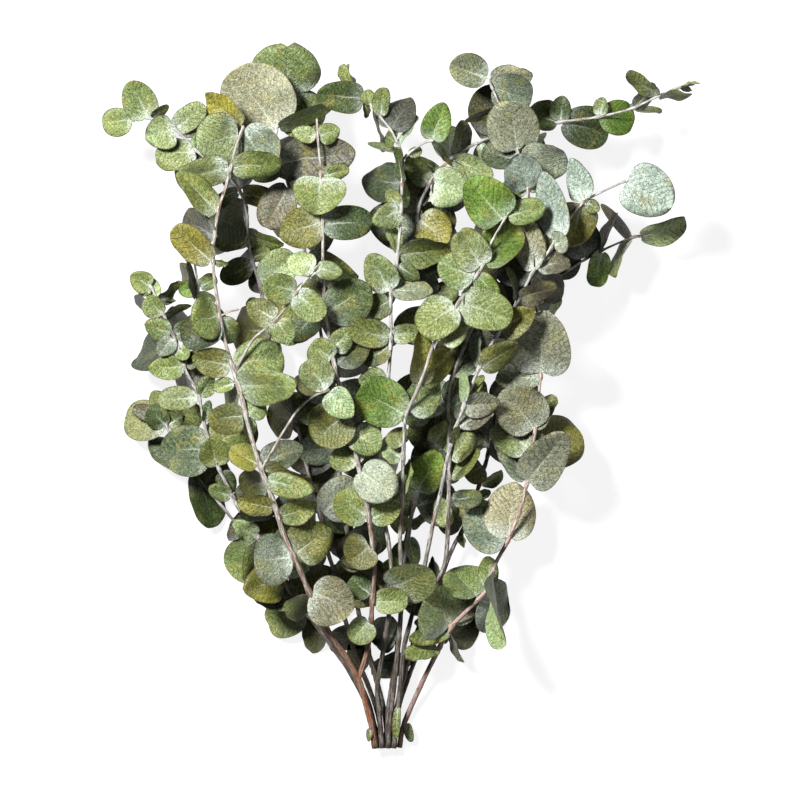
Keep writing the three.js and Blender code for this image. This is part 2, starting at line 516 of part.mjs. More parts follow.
function toGeometry(solid) {
  const mesh = solid.getMesh();
  const geometry = new THREE.BufferGeometry();
  geometry.setAttribute("position", new THREE.BufferAttribute(new Float32Array(mesh.vertProperties), 3));
  geometry.setIndex(new THREE.BufferAttribute(new Uint32Array(mesh.triVerts), 1));
  geometry.computeVertexNormals();
  return geometry;
}

const shoots = SHOOTS.map(makeShoot);
const points = shoots.flatMap(stemPoints);
const placed = [];
const keep = (blade) => {
  if (blade) placed.push(blade);
};

for (const shoot of shoots) {
  for (const [baseX, baseY, tipX, tipY, seenWidth] of shoot.leaves) {
    const { point, radius } = nearestOnAxis(shoot, across(baseX), upward(baseY));
    const second = placed.some(({ node, base }) => node === shoot.node && base.distanceTo(point) < PAIR_REACH);
    const leaf = growth(point, radius, across(tipX), upward(tipY), seenWidth * MM_PER_PIXEL, second ? -1 : 1);
    keep(placeLeaf(shoot.node, leaf, placed, points));
  }
}

// Hidden leaves in opposite pairs, leaning down and resting on the surface where they reach it
for (const [node, firstRow, lastRow, spacing] of HIDDEN_RUNS) {
  const shoot = shoots.find((one) => one.node === node);
  for (let row = firstRow; row > lastRow; row -= spacing) {
    const y = upward(row);
    const after = shoot.axis.findIndex((point) => point.y > y);
    const heading = shoot.axis[after].clone().sub(shoot.axis[after - 1]);
    const foot = shoot.axis[after - 1].clone().lerp(shoot.axis[after], (y - shoot.axis[after - 1].y) / heading.y);
    for (const hand of [-1, 1]) {
      const turn = Math.atan2(heading.y, heading.x) + hand * draw(0.9, 1.5);
      const length = draw(...HIDDEN_LENGTH);
      const tipX = foot.x + length * Math.cos(turn);
      const tipY = foot.y + length * Math.sin(turn);
      const leaf = growth(foot, shoot.radii[after - 1], tipX, tipY, length * draw(0.8, 1.0), -1);
      const hang = Math.sin(THREE.MathUtils.degToRad(draw(...HIDDEN_LEAN)));
      const drops = [RIB_SHARE, 1].map((share) => (foot.z + FLOOR_PRESS) / (share * length));
      leaf.lean = -Math.asin(drops.find((drop) => drop < FURTHEST_DROP) ?? -hang);
      keep(placeLeaf(node, leaf, placed, points));
    }
  }
}

const leafy = new THREE.MeshStandardMaterial({ color: 0x8d9a7c, roughness: 0.75 });
const bunch = new THREE.Group();
const nodes = [...new Set(shoots.map((shoot) => shoot.node))];
for (const node of nodes) {
  const stems = shoots.filter((shoot) => shoot.node === node).map((shoot) => toSolid(stemGeometry(shoot)));
  const blades = placed.filter((blade) => blade.node === node).map((blade) => toSolid(bladeGeometry(blade)));
  const solid = [...stems, ...blades].reduce((whole, piece) => whole.add(piece));
  const mesh = new THREE.Mesh(toGeometry(solid), leafy);
  mesh.name = node;
  bunch.add(mesh);
}

export default bunch;
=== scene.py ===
"""Bunch of preserved eucalyptus lying flat: round leaves with bloom and veins on flecked stems."""
import math
from itertools import chain
from types import SimpleNamespace

import bpy
import numpy as np
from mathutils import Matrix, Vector
from mathutils.bvhtree import BVHTree
from mathutils.kdtree import KDTree


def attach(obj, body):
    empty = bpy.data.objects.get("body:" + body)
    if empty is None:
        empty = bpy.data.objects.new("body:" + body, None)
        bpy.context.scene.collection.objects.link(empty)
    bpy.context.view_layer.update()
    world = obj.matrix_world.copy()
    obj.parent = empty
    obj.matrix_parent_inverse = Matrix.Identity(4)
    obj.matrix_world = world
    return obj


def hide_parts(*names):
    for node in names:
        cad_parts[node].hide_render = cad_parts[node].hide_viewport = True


# Scale and centre of the picture that the stems and leaves below were measured in, in millimetres
MM_PER_PIXEL = 0.85
CENTRE_COLUMN = 400
CENTRE_ROW = 401
PICTURE_PIXELS = 800
METRE = 0.001

# Seeded draws
DRAW_FACTOR = 16807
DRAW_RANGE = 2147483647
FULL_TURN = 6.28

# The solid blades, which the fine blades follow
HALF_OUTLINE = [(0.24, 0.95), (0.7, 0.93)]
SMALL_HALF_OUTLINE = [(0.5, 1.0)]
RIB_SHARE = 0.47
SMALL_WIDTH = 13
SOLID_THICKNESS = 0.8
SOLID_ON_FLOOR = 0.7
PAIR_REACH = 6
NARROWEST = 0.64
SHORTEST = 0.76
MOST_ROLL = 1.25
MOST_LEAN = 0.85
LENGTH_SHARE = 1.09
WIDTH_SHARE = 1.1
LEANS = [0, 8, -8, 16, -16, 24, -24, 32, -32, 40, -40, 48, -48]
ROLLS = [0, 14, -14, 28, -28, 42, -42]
MOST_STRETCH = 1.3
LEAST_STRETCH = 0.72
GROWTHS = [1, 0.82, 0.66]
HIDDEN_RUNS = [
    ("crown", 590, 250, 88), ("left_back", 600, 270, 90), ("spray_right", 600, 230, 92),
    ("far_right", 610, 280, 84), ("left_low", 610, 410, 62), ("left_outer", 580, 330, 130),
    ("right_column", 600, 300, 150), ("top_right", 600, 230, 190), ("centre", 590, 330, 130),
]
HIDDEN_LENGTH = (34, 46)
HIDDEN_LEAN = (-38, -14)
HIDDEN_TURN = (0.9, 1.5)
HIDDEN_WIDTH = (0.8, 1.0)
FLOOR_PRESS = 2.5
FURTHEST_DROP = 0.78
GROWTH_SEED = 20486
SAME_PLACE = 0.03

# Fine blade: rows from the petiole to the tip, columns from edge to edge, half thickness in the middle
PETIOLE_ROWS = 3
BLADE_ROWS = 17
COLUMNS = [-1, -0.94, -0.82, -0.64, -0.44, -0.25, -0.09, 0, 0.09, 0.25, 0.44, 0.64, 0.82, 0.94, 1]
HALF_THICKNESS = 0.22
PETIOLE_HALF = 0.6
PETIOLE_REACH = 0.5
PETIOLE_SHARES = [0, 0.45, 0.8]
LONGEST_PETIOLE = 0.3
CREASE_HALF = 16
RIB_GROOVE = 0.3
RIB_RIDGE = 0.45
RIB_WIDTH = 0.9
TOP_ON_FLOOR = 0.45
TIP_ON_FLOOR = 0.3
UNDERSIDE_ON_FLOOR = 0.02
ROOT_REACH = 7
EASES = (1, 0.5, 0.2, 0)
LOOKS_SEED = 7919

# Stems: round, as thick as the four-sided solids, with a swelling at each pair of leaves; the waves of the
# bark are depth, pace along the stem, how many round it and share of the phase
ROUND_SHARE = 0.8
STEM_STEP = 3.0
STEM_SIDES = 12
SWELLING = 0.55
SWELLING_REACH = 2.4
CUT_SHARE = 0.84
CUT_DEPTH = 0.25
TIP_SHARE = 1.6
BARK_WAVES = [(0.05, 0.21, 2, 1), (0.035, 0.83, 3, 2)]
BARK_SEED = 1307
BARK_TEST_SEED = 5

# Colours of the leaves, by the letter that ends each leaf's row
LEAF_COLOURS = {
    "g": (112, 126, 62), "v": (92, 120, 30), "y": (126, 120, 34), "b": (112, 122, 98), "p": (148, 166, 112),
    "o": (100, 100, 34), "d": (60, 76, 26), "n": (90, 84, 62), "t": (134, 132, 104), "s": (152, 164, 146),
}
HIDDEN_COLOURS = "gogdbgo"
BARE_COLOURS = "vyod"
BARE_BLOOM = 0.55

# Colours on the leaves
YELLOWED = (150, 142, 56)
DEEP_GREEN = (58, 82, 36)
BLOOM = (212, 222, 212)
DUST = (204, 212, 196)
SPECK = (36, 40, 20)
BLEMISH = (138, 92, 52)
PALE_VEIN = (190, 198, 164)
MIDRIB = (196, 204, 180)
UNDERSIDE = (112, 112, 92)
UNDERSIDE_VEIN = (140, 138, 116)
UNDERSIDE_PATCH = (78, 72, 56)
RIM = (70, 58, 34)

# Shoots, front ones first: node, radius at the foot and at the tip, then the axis as [column, row, height],
# then the leaves as [column and row of the base, column and row of the tip, width seen from above, colour]
SHOOTS = [
  ["centre_right", 2.9, 1.1,
   [[388, 752, 11], [391, 715, 15], [395, 680, 21], [399, 640, 30], [402, 590, 44], [400, 540, 58],
    [402, 500, 68], [403, 470, 76], [404, 440, 83], [406, 415, 88], [416, 393, 92], [425, 370, 95],
    [434, 343, 97], [446, 327, 98], [458, 303, 99], [475, 278, 100], [483, 265, 100], [490, 245, 100],
    [503, 222, 100], [508, 212, 100]],
   [[503, 222, 470, 183, 45, "v"], [507, 218, 541, 208, 24, "g"], [482, 268, 460, 235, 34, "g"],
    [485, 265, 514, 230, 36, "v"], [475, 277, 441, 265, 36, "g"], [477, 275, 495, 298, 20, "v"],
    [459, 303, 507, 318, 38, "g"], [456, 306, 422, 330, 38, "g"], [438, 340, 464, 325, 34, "p"],
    [419, 385, 421, 332, 24, "y"], [421, 386, 452, 351, 24, "o"], [405, 414, 362, 392, 45, "v"],
    [408, 413, 436, 384, 32, "g"], [402, 458, 384, 448, 24, "p"], [404, 448, 392, 432, 22, "g"],
    [402, 497, 410, 462, 14, "g"]]],
  ["forked_branch", 3.6, 1.3,
   [[375, 752, 12], [372, 732, 15], [366, 708, 21], [358, 682, 29], [345, 658, 37], [330, 636, 46],
    [318, 612, 55], [308, 590, 62], [297, 563, 69], [284, 535, 75], [275, 505, 80], [261, 467, 85],
    [250, 430, 88], [243, 400, 90], [233, 366, 92], [224, 335, 93], [219, 305, 94], [214, 263, 95],
    [217, 225, 95], [221, 205, 95], [226, 190, 95], [232, 168, 95], [236, 150, 95], [244, 128, 94]],
   [[233, 366, 281, 357, 43, "g"], [232, 366, 196, 358, 28, "o"], [309, 591, 350, 608, 48, "t"],
    [308, 592, 298, 620, 30, "g"], [294, 557, 257, 562, 44, "b"], [296, 554, 328, 530, 42, "o"],
    [276, 508, 241, 501, 21, "y"], [281, 516, 314, 506, 22, "g"], [263, 466, 307, 482, 24, "y"],
    [260, 468, 233, 450, 25, "y"], [268, 478, 308, 490, 22, "g"], [246, 416, 212, 420, 29, "o"],
    [248, 414, 252, 437, 15, "p"], [247, 416, 262, 402, 25, "g"], [240, 385, 296, 383, 33, "g"],
    [238, 383, 216, 388, 14, "g"], [220, 316, 196, 322, 42, "g"], [221, 318, 236, 338, 22, "g"],
    [214, 263, 177, 232, 28, "y"], [216, 262, 228, 264, 7, "g"], [219, 214, 182, 176, 26, "g"],
    [231, 168, 183, 178, 28, "g"], [233, 169, 278, 164, 28, "g"], [240, 135, 202, 148, 46, "p"],
    [244, 128, 266, 165, 46, "b"], [244, 128, 208, 98, 24, "y"],
    [264, 464, 300, 448, 28, "b"]]],
  ["forked_branch", 1.6, 1.1,
   [[236, 372, 92], [253, 341, 97], [277, 320, 100], [297, 293, 102], [318, 267, 102]],
   [[297, 293, 267, 283, 28, "g"], [298, 294, 322, 316, 28, "g"], [277, 320, 290, 341, 25, "g"],
    [275, 320, 250, 304, 26, "o"], [316, 268, 341, 274, 18, "g"], [316, 268, 290, 262, 24, "p"]]],
  ["forked_branch", 1.6, 1.1,
   [[262, 470, 85], [272, 452, 90], [285, 430, 94], [300, 408, 97], [315, 396, 99], [329, 390, 100]],
   [[328, 389, 307, 364, 31, "g"], [329, 391, 351, 415, 28, "p"]]],
  ["forked_branch", 1.2, 1.1,
   [[222, 316, 94], [230, 312, 96], [239, 310, 97]],
   []],
  ["forked_branch", 2.8, 1.2,
   [[358, 682, 29], [366, 657, 34], [370, 635, 41], [372, 605, 50], [374, 580, 57], [373, 550, 64],
    [369, 518, 70], [366, 500, 73], [359, 468, 76], [352, 435, 78], [345, 410, 79], [338, 380, 80],
    [334, 362, 80], [330, 340, 80], [325, 313, 80], [324, 290, 80], [323, 260, 80], [323, 228, 80],
    [321, 176, 80], [318, 138, 80], [317, 120, 80]],
   [[360, 469, 389, 494, 40, "s"], [358, 468, 341, 446, 38, "g"], [320, 176, 318, 213, 49, "g"],
    [321, 222, 283, 235, 38, "o"], [322, 224, 369, 222, 32, "d"], [326, 314, 367, 289, 42, "d"],
    [368, 518, 338, 498, 34, "g"], [370, 519, 398, 507, 22, "g"], [372, 545, 350, 562, 36, "o"],
    [373, 603, 405, 601, 25, "g"], [372, 598, 352, 580, 24, "d"], [370, 620, 352, 640, 26, "g"],
    [352, 432, 378, 448, 30, "g"], [345, 412, 318, 440, 45, "o"], [347, 415, 340, 435, 24, "g"],
    [334, 360, 313, 345, 28, "g"], [333, 350, 350, 330, 22, "g"], [322, 176, 347, 170, 16, "g"],
    [318, 138, 294, 133, 16, "p"], [319, 137, 338, 130, 20, "g"]]],
  ["right_centre", 2.9, 1.1,
   [[394, 752, 11], [397, 720, 14], [400, 690, 19], [404, 650, 27], [410, 625, 33], [416, 600, 39],
    [423, 575, 45], [428, 550, 51], [434, 520, 58], [440, 495, 63], [445, 470, 68], [450, 448, 72],
    [455, 430, 75], [463, 408, 78], [470, 390, 80], [478, 370, 82], [488, 350, 83], [497, 335, 84],
    [512, 310, 85], [517, 302, 85], [526, 285, 85], [534, 270, 85], [548, 252, 85], [565, 225, 85],
    [583, 203, 84], [600, 193, 84], [624, 182, 83]],
   [[624, 182, 668, 205, 48, "s"], [583, 203, 572, 162, 24, "s"], [584, 204, 570, 245, 38, "o"],
    [585, 203, 598, 210, 14, "g"], [533, 272, 521, 224, 28, "t"], [537, 268, 567, 262, 22, "n"],
    [534, 270, 540, 225, 10, "d"], [540, 262, 552, 225, 18, "n"], [557, 238, 545, 177, 26, "s"],
    [552, 246, 567, 240, 22, "s"], [556, 238, 560, 212, 12, "p"], [518, 300, 554, 288, 20, "n"],
    [517, 303, 509, 270, 9, "d"], [500, 332, 530, 312, 28, "o"], [497, 335, 491, 326, 5, "g"],
    [478, 369, 515, 346, 24, "o"], [478, 368, 477, 335, 12, "b"], [463, 408, 497, 402, 24, "n"],
    [465, 405, 462, 375, 12, "p"], [466, 402, 480, 375, 12, "g"], [468, 396, 490, 393, 16, "n"],
    [451, 445, 458, 428, 8, "g"], [458, 428, 492, 410, 18, "n"]]],
  ["top_right", 2.9, 1.1,
   [[391, 752, 6.5], [396, 715, 9], [404, 680, 13], [412, 650, 18], [424, 615, 24], [436, 585, 30],
    [446, 560, 35], [449, 500, 44], [449, 440, 52], [448, 400, 57], [452, 378, 60], [465, 345, 64],
    [482, 305, 68], [505, 255, 73], [524, 212, 77], [528, 192, 78], [518, 154, 80], [508, 125, 82],
    [497, 100, 83], [488, 80, 84]],
   [[516, 152, 510, 106, 48, "t"], [520, 155, 562, 170, 46, "s"], [527, 191, 517, 156, 38, "s"],
    [489, 79, 453, 66, 31, "b"], [490, 80, 529, 77, 21, "t"], [493, 88, 528, 100, 40, "b"],
    [501, 108, 467, 121, 9, "n"], [521, 152, 545, 135, 12, "p"], [527, 192, 503, 188, 15, "g"],
    [530, 191, 541, 186, 8, "g"], [452, 378, 478, 335, 30, "d"], [450, 462, 471, 435, 24, "g"],
    [449, 500, 480, 497, 18, "d"], [448, 530, 440, 500, 16, "p"], [449, 480, 478, 452, 18, "g"],
    [506, 250, 486, 230, 26, "g"], [508, 128, 483, 118, 12, "g"]]],
  ["crown", 2.9, 1.2,
   [[388, 752, 2], [384, 715, 2.6], [375, 680, 5], [360, 625, 9], [350, 560, 13], [342, 500, 16],
    [336, 450, 18], [329, 400, 20], [322, 345, 22], [316, 310, 26], [308, 270, 34], [302, 240, 42],
    [296, 212, 50], [288, 183, 60], [281, 162, 67], [276, 142, 73], [279, 115, 72], [288, 92, 64]],
   [[275, 130, 236, 76, 66, "t"], [288, 92, 288, 50, 64, "g"], [289, 93, 309, 131, 46, "g"],
    [277, 128, 332, 104, 10, "g"], [281, 162, 350, 153, 45, "n"], [281, 162, 255, 178, 24, "d"],
    [290, 185, 268, 225, 34, "n"], [305, 255, 355, 275, 22, "d"], [336, 450, 300, 450, 30, "b"],
    [316, 312, 292, 338, 26, "d"]]],
  ["centre", 2.9, 1.1,
   [[382, 752, 11], [379, 715, 14], [377, 690, 19], [381, 665, 26], [385, 640, 33], [389, 615, 40],
    [392, 580, 49], [388, 540, 57], [380, 500, 63], [376, 470, 67], [378, 440, 70], [383, 410, 72],
    [388, 380, 74], [391, 338, 75], [391, 293, 75], [397, 262, 75], [401, 215, 75], [402, 185, 75],
    [403, 160, 75], [393, 134, 75], [381, 118, 74], [369, 103, 73], [352, 90, 72]],
   [[391, 293, 371, 257, 30, "g"], [389, 338, 352, 330, 27, "g"], [391, 336, 420, 330, 18, "g"],
    [387, 379, 361, 381, 22, "g"], [399, 254, 391, 222, 14, "p"], [400, 256, 446, 247, 26, "g"],
    [397, 265, 418, 278, 16, "d"], [392, 290, 430, 292, 20, "b"], [391, 300, 370, 312, 24, "d"],
    [400, 210, 376, 222, 24, "g"], [401, 209, 387, 192, 16, "g"], [402, 207, 399, 178, 12, "p"],
    [402, 182, 397, 150, 10, "d"], [399, 152, 370, 144, 6, "g"], [397, 143, 385, 138, 22, "g"],
    [398, 146, 416, 118, 7, "p"], [381, 117, 382, 90, 16, "g"], [371, 107, 366, 92, 14, "g"],
    [373, 108, 384, 146, 8, "g"], [363, 100, 322, 95, 30, "d"], [352, 90, 342, 67, 10, "g"],
    [353, 90, 349, 65, 6, "g"], [364, 101, 365, 117, 7, "d"], [389, 345, 365, 362, 24, "d"]]],
  ["centre", 1.4, 1.1,
   [[403, 160, 75], [411, 152, 78], [425, 143, 80], [433, 141, 81]],
   [[432, 142, 443, 106, 27, "v"], [431, 142, 449, 163, 8, "d"], [408, 156, 421, 150, 10, "g"]]],
  ["right_column", 2.9, 1.2,
   [[399.5, 752, 2], [403.5, 730, 3.6], [416, 700, 9], [430, 670, 15], [450, 632, 24], [470, 610, 30],
    [488, 590, 35], [496, 565, 40], [508, 542, 45], [520, 512, 50], [527, 485, 54], [535, 435, 58],
    [540, 385, 60], [541, 374, 60], [539, 330, 61], [537, 300, 61], [540, 270, 60]],
   [[541, 374, 543, 317, 56, "t"], [540, 377, 499, 378, 26, "b"], [535, 431, 508, 391, 48, "t"],
    [536, 431, 552, 397, 20, "d"], [525, 483, 562, 436, 40, "t"], [526, 482, 506, 442, 28, "b"],
    [508, 541, 515, 488, 48, "t"], [506, 541, 468, 518, 44, "b"], [488, 590, 490, 560, 19, "g"],
    # The wide leaf at column 449, row 630 takes the pale tone as painted light, to lift it out of the shade
    # it lies in
    [492, 577, 501, 641, 13, "p"], [449, 630, 437, 590, 56, "p"], [448, 631, 412, 640, 18, "g"],
    [452, 629, 472, 582, 40, "t"], [450, 634, 464, 662, 5, "n"], [448, 634, 425, 648, 10, "g"],
    [440, 650, 408, 655, 16, "g"]]],
  ["left_outer", 2.8, 1.1,
   [[379, 752, 6.5], [373, 725, 9], [360, 695, 15], [345, 668, 22], [325, 640, 29], [312, 622, 33],
    [300, 608, 37], [288, 592, 40], [276, 570, 44], [262, 545, 48], [252, 530, 50], [240, 512, 52],
    [230, 492, 54], [218, 468, 56], [210, 445, 58], [203, 420, 59], [199, 398, 60], [193, 385, 60],
    [184, 367, 60], [178, 348, 60], [172, 333, 60], [164, 316, 60], [157, 300, 59], [150, 286, 58],
    [142, 277, 57]],
   [[199, 398, 161, 400, 23, "g"], [201, 398, 211, 376, 16, "g"], [184, 367, 151, 368, 23, "g"],
    [186, 366, 202, 352, 16, "d"], [173, 336, 159, 354, 18, "b"], [178, 348, 188, 358, 16, "g"],
    [172, 333, 146, 325, 20, "g"], [173, 335, 199, 325, 20, "d"], [164, 315, 147, 299, 20, "g"],
    [165, 316, 188, 304, 10, "g"], [152, 287, 132, 275, 21, "g"], [157, 298, 147, 278, 15, "p"],
    [159, 300, 180, 283, 11, "g"], [158, 300, 178, 297, 10, "g"], [150, 287, 138, 293, 12, "g"],
    [218, 468, 210, 440, 29, "g"], [220, 470, 232, 490, 18, "d"], [203, 425, 208, 402, 12, "p"],
    [232, 497, 210, 489, 17, "g"], [256, 538, 236, 525, 20, "p"], [258, 541, 250, 583, 20, "g"],
    [294, 601, 254, 592, 30, "d"]]],
  ["left_outer", 1.5, 1.1,
   [[184, 367, 60], [190, 335, 64], [194, 310, 67], [198, 287, 69], [195, 258, 70], [204, 224, 70]],
   [[197, 288, 180, 291, 17, "v"], [199, 287, 215, 278, 15, "g"], [194, 298, 188, 264, 16, "n"],
    [195, 258, 181, 243, 14, "b"], [196, 300, 214, 300, 16, "d"]]],
  ["spray_right", 2.8, 1.1,
   [[385, 752, 6.5], [388, 715, 9], [393, 680, 12], [398, 645, 15], [402, 600, 19], [405, 560, 23],
    [409, 530, 26], [416, 497, 30], [430, 455, 34], [438, 415, 37], [440, 380, 39], [437, 340, 41],
    [434, 300, 43], [424, 255, 46], [417, 217, 49], [429, 184, 51], [449, 160, 53], [482, 140, 55],
    [520, 131, 56], [558, 122, 57], [600, 116, 59], [632, 108, 61], [658, 96, 62], [676, 88, 62],
    [694, 84, 62]],
   [[431, 182, 468, 190, 38, "p"], [429, 184, 408, 160, 22, "g"], [417, 217, 448, 240, 34, "y"],
    [440, 168, 412, 155, 10, "g"], [453, 158, 491, 173, 24, "p"], [458, 154, 463, 122, 20, "b"],
    [452, 160, 480, 178, 8, "g"], [482, 142, 487, 165, 12, "p"], [560, 121, 563, 97, 20, "d"],
    [562, 122, 606, 130, 40, "d"], [560, 124, 530, 113, 30, "d"], [600, 115, 603, 98, 14, "g"],
    [598, 115, 634, 116, 33, "v"], [633, 107, 655, 86, 18, "b"], [658, 95, 628, 76, 14, "g"],
    [633, 110, 666, 107, 7, "g"], [676, 88, 697, 84, 4, "g"], [678, 88, 692, 90, 3, "g"],
    [659, 97, 690, 96, 4, "g"], [415, 493, 436, 457, 34, "v"], [430, 455, 430, 411, 40, "g"],
    [432, 448, 452, 420, 20, "g"], [405, 562, 383, 585, 27, "v"], [408, 534, 392, 515, 19, "g"],
    [410, 530, 430, 515, 10, "g"], [407, 540, 399, 572, 24, "g"], [408, 536, 415, 568, 14, "d"],
    [434, 295, 420, 270, 24, "d"], [434, 295, 457, 288, 22, "g"]]],
  ["left_back", 2.8, 1.1,
   [[382, 752, 2], [378, 720, 3], [368, 690, 5], [356, 660, 8], [344, 620, 12], [333, 573, 16],
    [326, 550, 18], [320, 518, 20], [311, 490, 22], [300, 440, 25], [286, 395, 27], [272, 340, 28],
    [263, 305, 29], [259, 285, 30], [250, 255, 31], [246, 235, 33], [246, 215, 36], [240, 192, 42],
    [222, 172, 50], [196, 150, 56], [174, 128, 59], [149, 118, 60], [132, 120, 59]],
   [[133, 120, 104, 121, 27, "g"], [149, 118, 131, 83, 32, "g"], [174, 128, 147, 136, 32, "p"],
    [150, 118, 166, 105, 8, "d"], [175, 127, 202, 106, 22, "p"], [178, 130, 214, 112, 26, "o"],
    [196, 150, 158, 155, 30, "g"], [197, 149, 197, 135, 12, "p"], [240, 192, 275, 200, 22, "o"],
    [238, 190, 206, 200, 12, "d"], [246, 215, 232, 218, 18, "g"], [246, 229, 216, 244, 20, "d"],
    [247, 235, 280, 243, 18, "g"], [251, 256, 268, 250, 14, "g"], [251, 261, 222, 278, 24, "d"],
    [259, 284, 291, 256, 34, "p"], [262, 300, 250, 312, 20, "d"], [262, 300, 283, 318, 26, "g"],
    [320, 516, 352, 485, 40, "s"], [321, 518, 349, 526, 22, "g"], [333, 574, 357, 566, 18, "g"]]],
  ["left_low", 2.8, 1.1,
   [[376, 752, 2], [372, 720, 3], [361, 690, 5], [345, 662, 8], [322, 632, 11], [300, 606, 14],
    [280, 575, 17], [262, 548, 19], [248, 535, 20], [234, 524, 21], [221, 508, 22], [206, 490, 23],
    [190, 469, 24], [178, 450, 25], [170, 437, 25], [164, 425, 25], [160, 408, 25], [157, 397, 25]],
   [[189, 468, 150, 440, 28, "d"], [192, 472, 214, 523, 30, "d"], [164, 428, 148, 410, 22, "d"],
    [164, 426, 181, 415, 18, "g"], [162, 410, 152, 393, 18, "g"], [162, 418, 133, 410, 15, "n"],
    [174, 443, 198, 433, 12, "t"], [180, 453, 200, 455, 20, "d"]]],
  ["far_right", 2.8, 1.1,
   [[394, 752, 2], [398, 715, 3], [407, 685, 5], [418, 655, 8], [430, 612, 11], [440, 586, 13],
    [449, 560, 15], [457, 542, 16], [464, 530, 17], [478, 492, 19], [490, 450, 21], [497, 408, 23],
    [505, 360, 25], [520, 322, 27], [540, 296, 29], [556, 280, 31], [573, 267, 33], [598, 252, 35],
    [632, 237, 37], [643, 235, 37]],
   [[641, 236, 685, 227, 18, "p"], [603, 250, 597, 283, 21, "v"], [600, 251, 619, 215, 10, "n"],
    [634, 236, 614, 272, 8, "g"], [633, 236, 608, 204, 7, "n"], [556, 281, 550, 315, 10, "p"],
    [462, 532, 464, 548, 8, "g"], [481, 485, 503, 477, 10, "g"], [475, 500, 490, 492, 10, "p"],
    [498, 402, 510, 385, 16, "b"], [490, 450, 480, 432, 10, "n"], [486, 465, 468, 478, 24, "o"]]],
]

# Bark: colour at each distance from the cut end, in millimetres
STEM_COLOURS = {
    "forked_branch": [(0, (96, 64, 50)), (30, (142, 92, 64)), (140, (124, 94, 76)), (280, (150, 140, 130))],
    "right_column": [(0, (116, 86, 76)), (140, (176, 146, 134)), (420, (160, 134, 122))],
    "right_centre": [(0, (70, 58, 50)), (120, (92, 82, 74)), (260, (160, 158, 152))],
    "far_right": [(0, (62, 50, 44)), (200, (52, 42, 38)), (420, (76, 64, 54))],
}
OTHER_STEM_COLOURS = [(0, (66, 56, 48)), (90, (84, 74, 66)), (220, (140, 134, 126)), (480, (164, 162, 156))]
CUT_WOOD = (186, 168, 132)
CUT_PITH = (120, 96, 70)
RUSTY_BARK = (128, 84, 62)
FROST = (214, 214, 208)
CREVICE = (70, 56, 48)
FLECK = (40, 34, 30)

# More leaves deep in the bunch: size, spacing along the stems, leans to try, and the painted shade that
# darkens them
EXTRA_SHORTEST = 120
EXTRA_FROM = 0.13
EXTRA_TO = 0.93
EXTRA_LENGTH = (30, 46)
EXTRA_WIDTH = (0.86, 1.02)
EXTRA_TURN = (0.6, 2.0)
EXTRA_SPACING = (12, 20)
EXTRA_LEANS = (-34, -20, -48, -10, -62, -3, 5, 14)
EXTRA_COLOURS = "dndodnog"
EXTRA_PAINTED_SHADE = (0.25, 0.6)
EXTRA_SEED = 90217
EXTRA_EASE = 0.6

# A place is deep where there are leaves all round it or stems above it
NEIGHBOUR_REACH = 36
NEIGHBOURS = 6
STEMS_OVER = 3
STEM_REACH = 16
PRESS_DEPTH = 2.0
COVER_LIMIT = 0.3

# Gaps that stay open: column, row and radius
OPEN_GAPS = [
    (240, 322, 11), (290, 360, 7), (273, 410, 11), (266, 434, 7), (402, 362, 15), (408, 309, 9),
    (347, 248, 8), (232, 305, 11), (257, 216, 7), (488, 468, 11), (470, 562, 14), (440, 548, 7),
    (445, 396, 6), (470, 398, 6), (300, 500, 5), (228, 512, 7), (205, 262, 8), (488, 378, 6),
    (447, 280, 6), (336, 696, 14), (571, 140, 6), (634, 98, 5),
]

# Remains of leaves at the cut ends: node, column and row of the base and of the tip, width, colour
SCRAPS = [
    ("right_centre", 399, 706, 395, 742, 9, "g"), ("right_column", 405, 724, 411, 746, 10, "d"),
    ("forked_branch", 372, 728, 368, 745, 7, "o"),
]
SCRAP_LEANS = (12, 20, 30, 42, 4)

# Camera far above the bunch, so that it is seen as good as straight down, with the picture's frame
CAMERA_HEIGHT = 5.0
FOCUS_HEIGHT = 0.07
SENSOR = 36.0
FURTHEST_SEEN = 50

# White floor that glows a little and throws no light up, and the lamps as name, place, size and watts
FLOOR_HALF = 16.0
FLOOR_GREY = 0.2
FLOOR_ROUGHNESS = 0.9
FLOOR_GLOW = 0.86
STUDIO_LIGHT = 0.06
LAMPS = [("key", (-1.1, 1.0, 1.9), 0.6, 126), ("fill", (1.3, -0.4, 1.7), 1.4, 9)]


class Draws:
    """Seeded draws, alike on every run."""

    def __init__(self, seed):
        self.seed = seed

    def __call__(self, low, high):
        self.seed = self.seed * DRAW_FACTOR % DRAW_RANGE
        return low + (high - low) * (self.seed / DRAW_RANGE)


def across(column):
    return (column - CENTRE_COLUMN) * MM_PER_PIXEL


def upward(row):
    return (CENTRE_ROW - row) * MM_PER_PIXEL


def linear(colour):
    """Linear light of a colour given as the eye sees it, each part from 0 to 255."""
    parts = np.asarray(colour, float) / 255
    return np.where(parts <= 0.04045, parts / 12.92, ((parts + 0.055) / 1.055) ** 2.4)


def smooth(low, high, value):
    share = np.clip((value - low) / (high - low), 0, 1)
    return share * share * (3 - 2 * share)


# How the leaves grow, as in the solids

def make_shoot(row):
    node, foot, tip, route, leaves = row
    axis = np.array([(across(column), upward(line), height) for column, line, height in route], float)
    reach = np.concatenate([[0.0], np.cumsum(np.linalg.norm(np.diff(axis, axis=0), axis=1))])
    radii = foot + (tip - foot) * reach / reach[-1]
    return SimpleNamespace(node=node, axis=axis, reach=reach, radii=radii, leaves=leaves, joints=[])


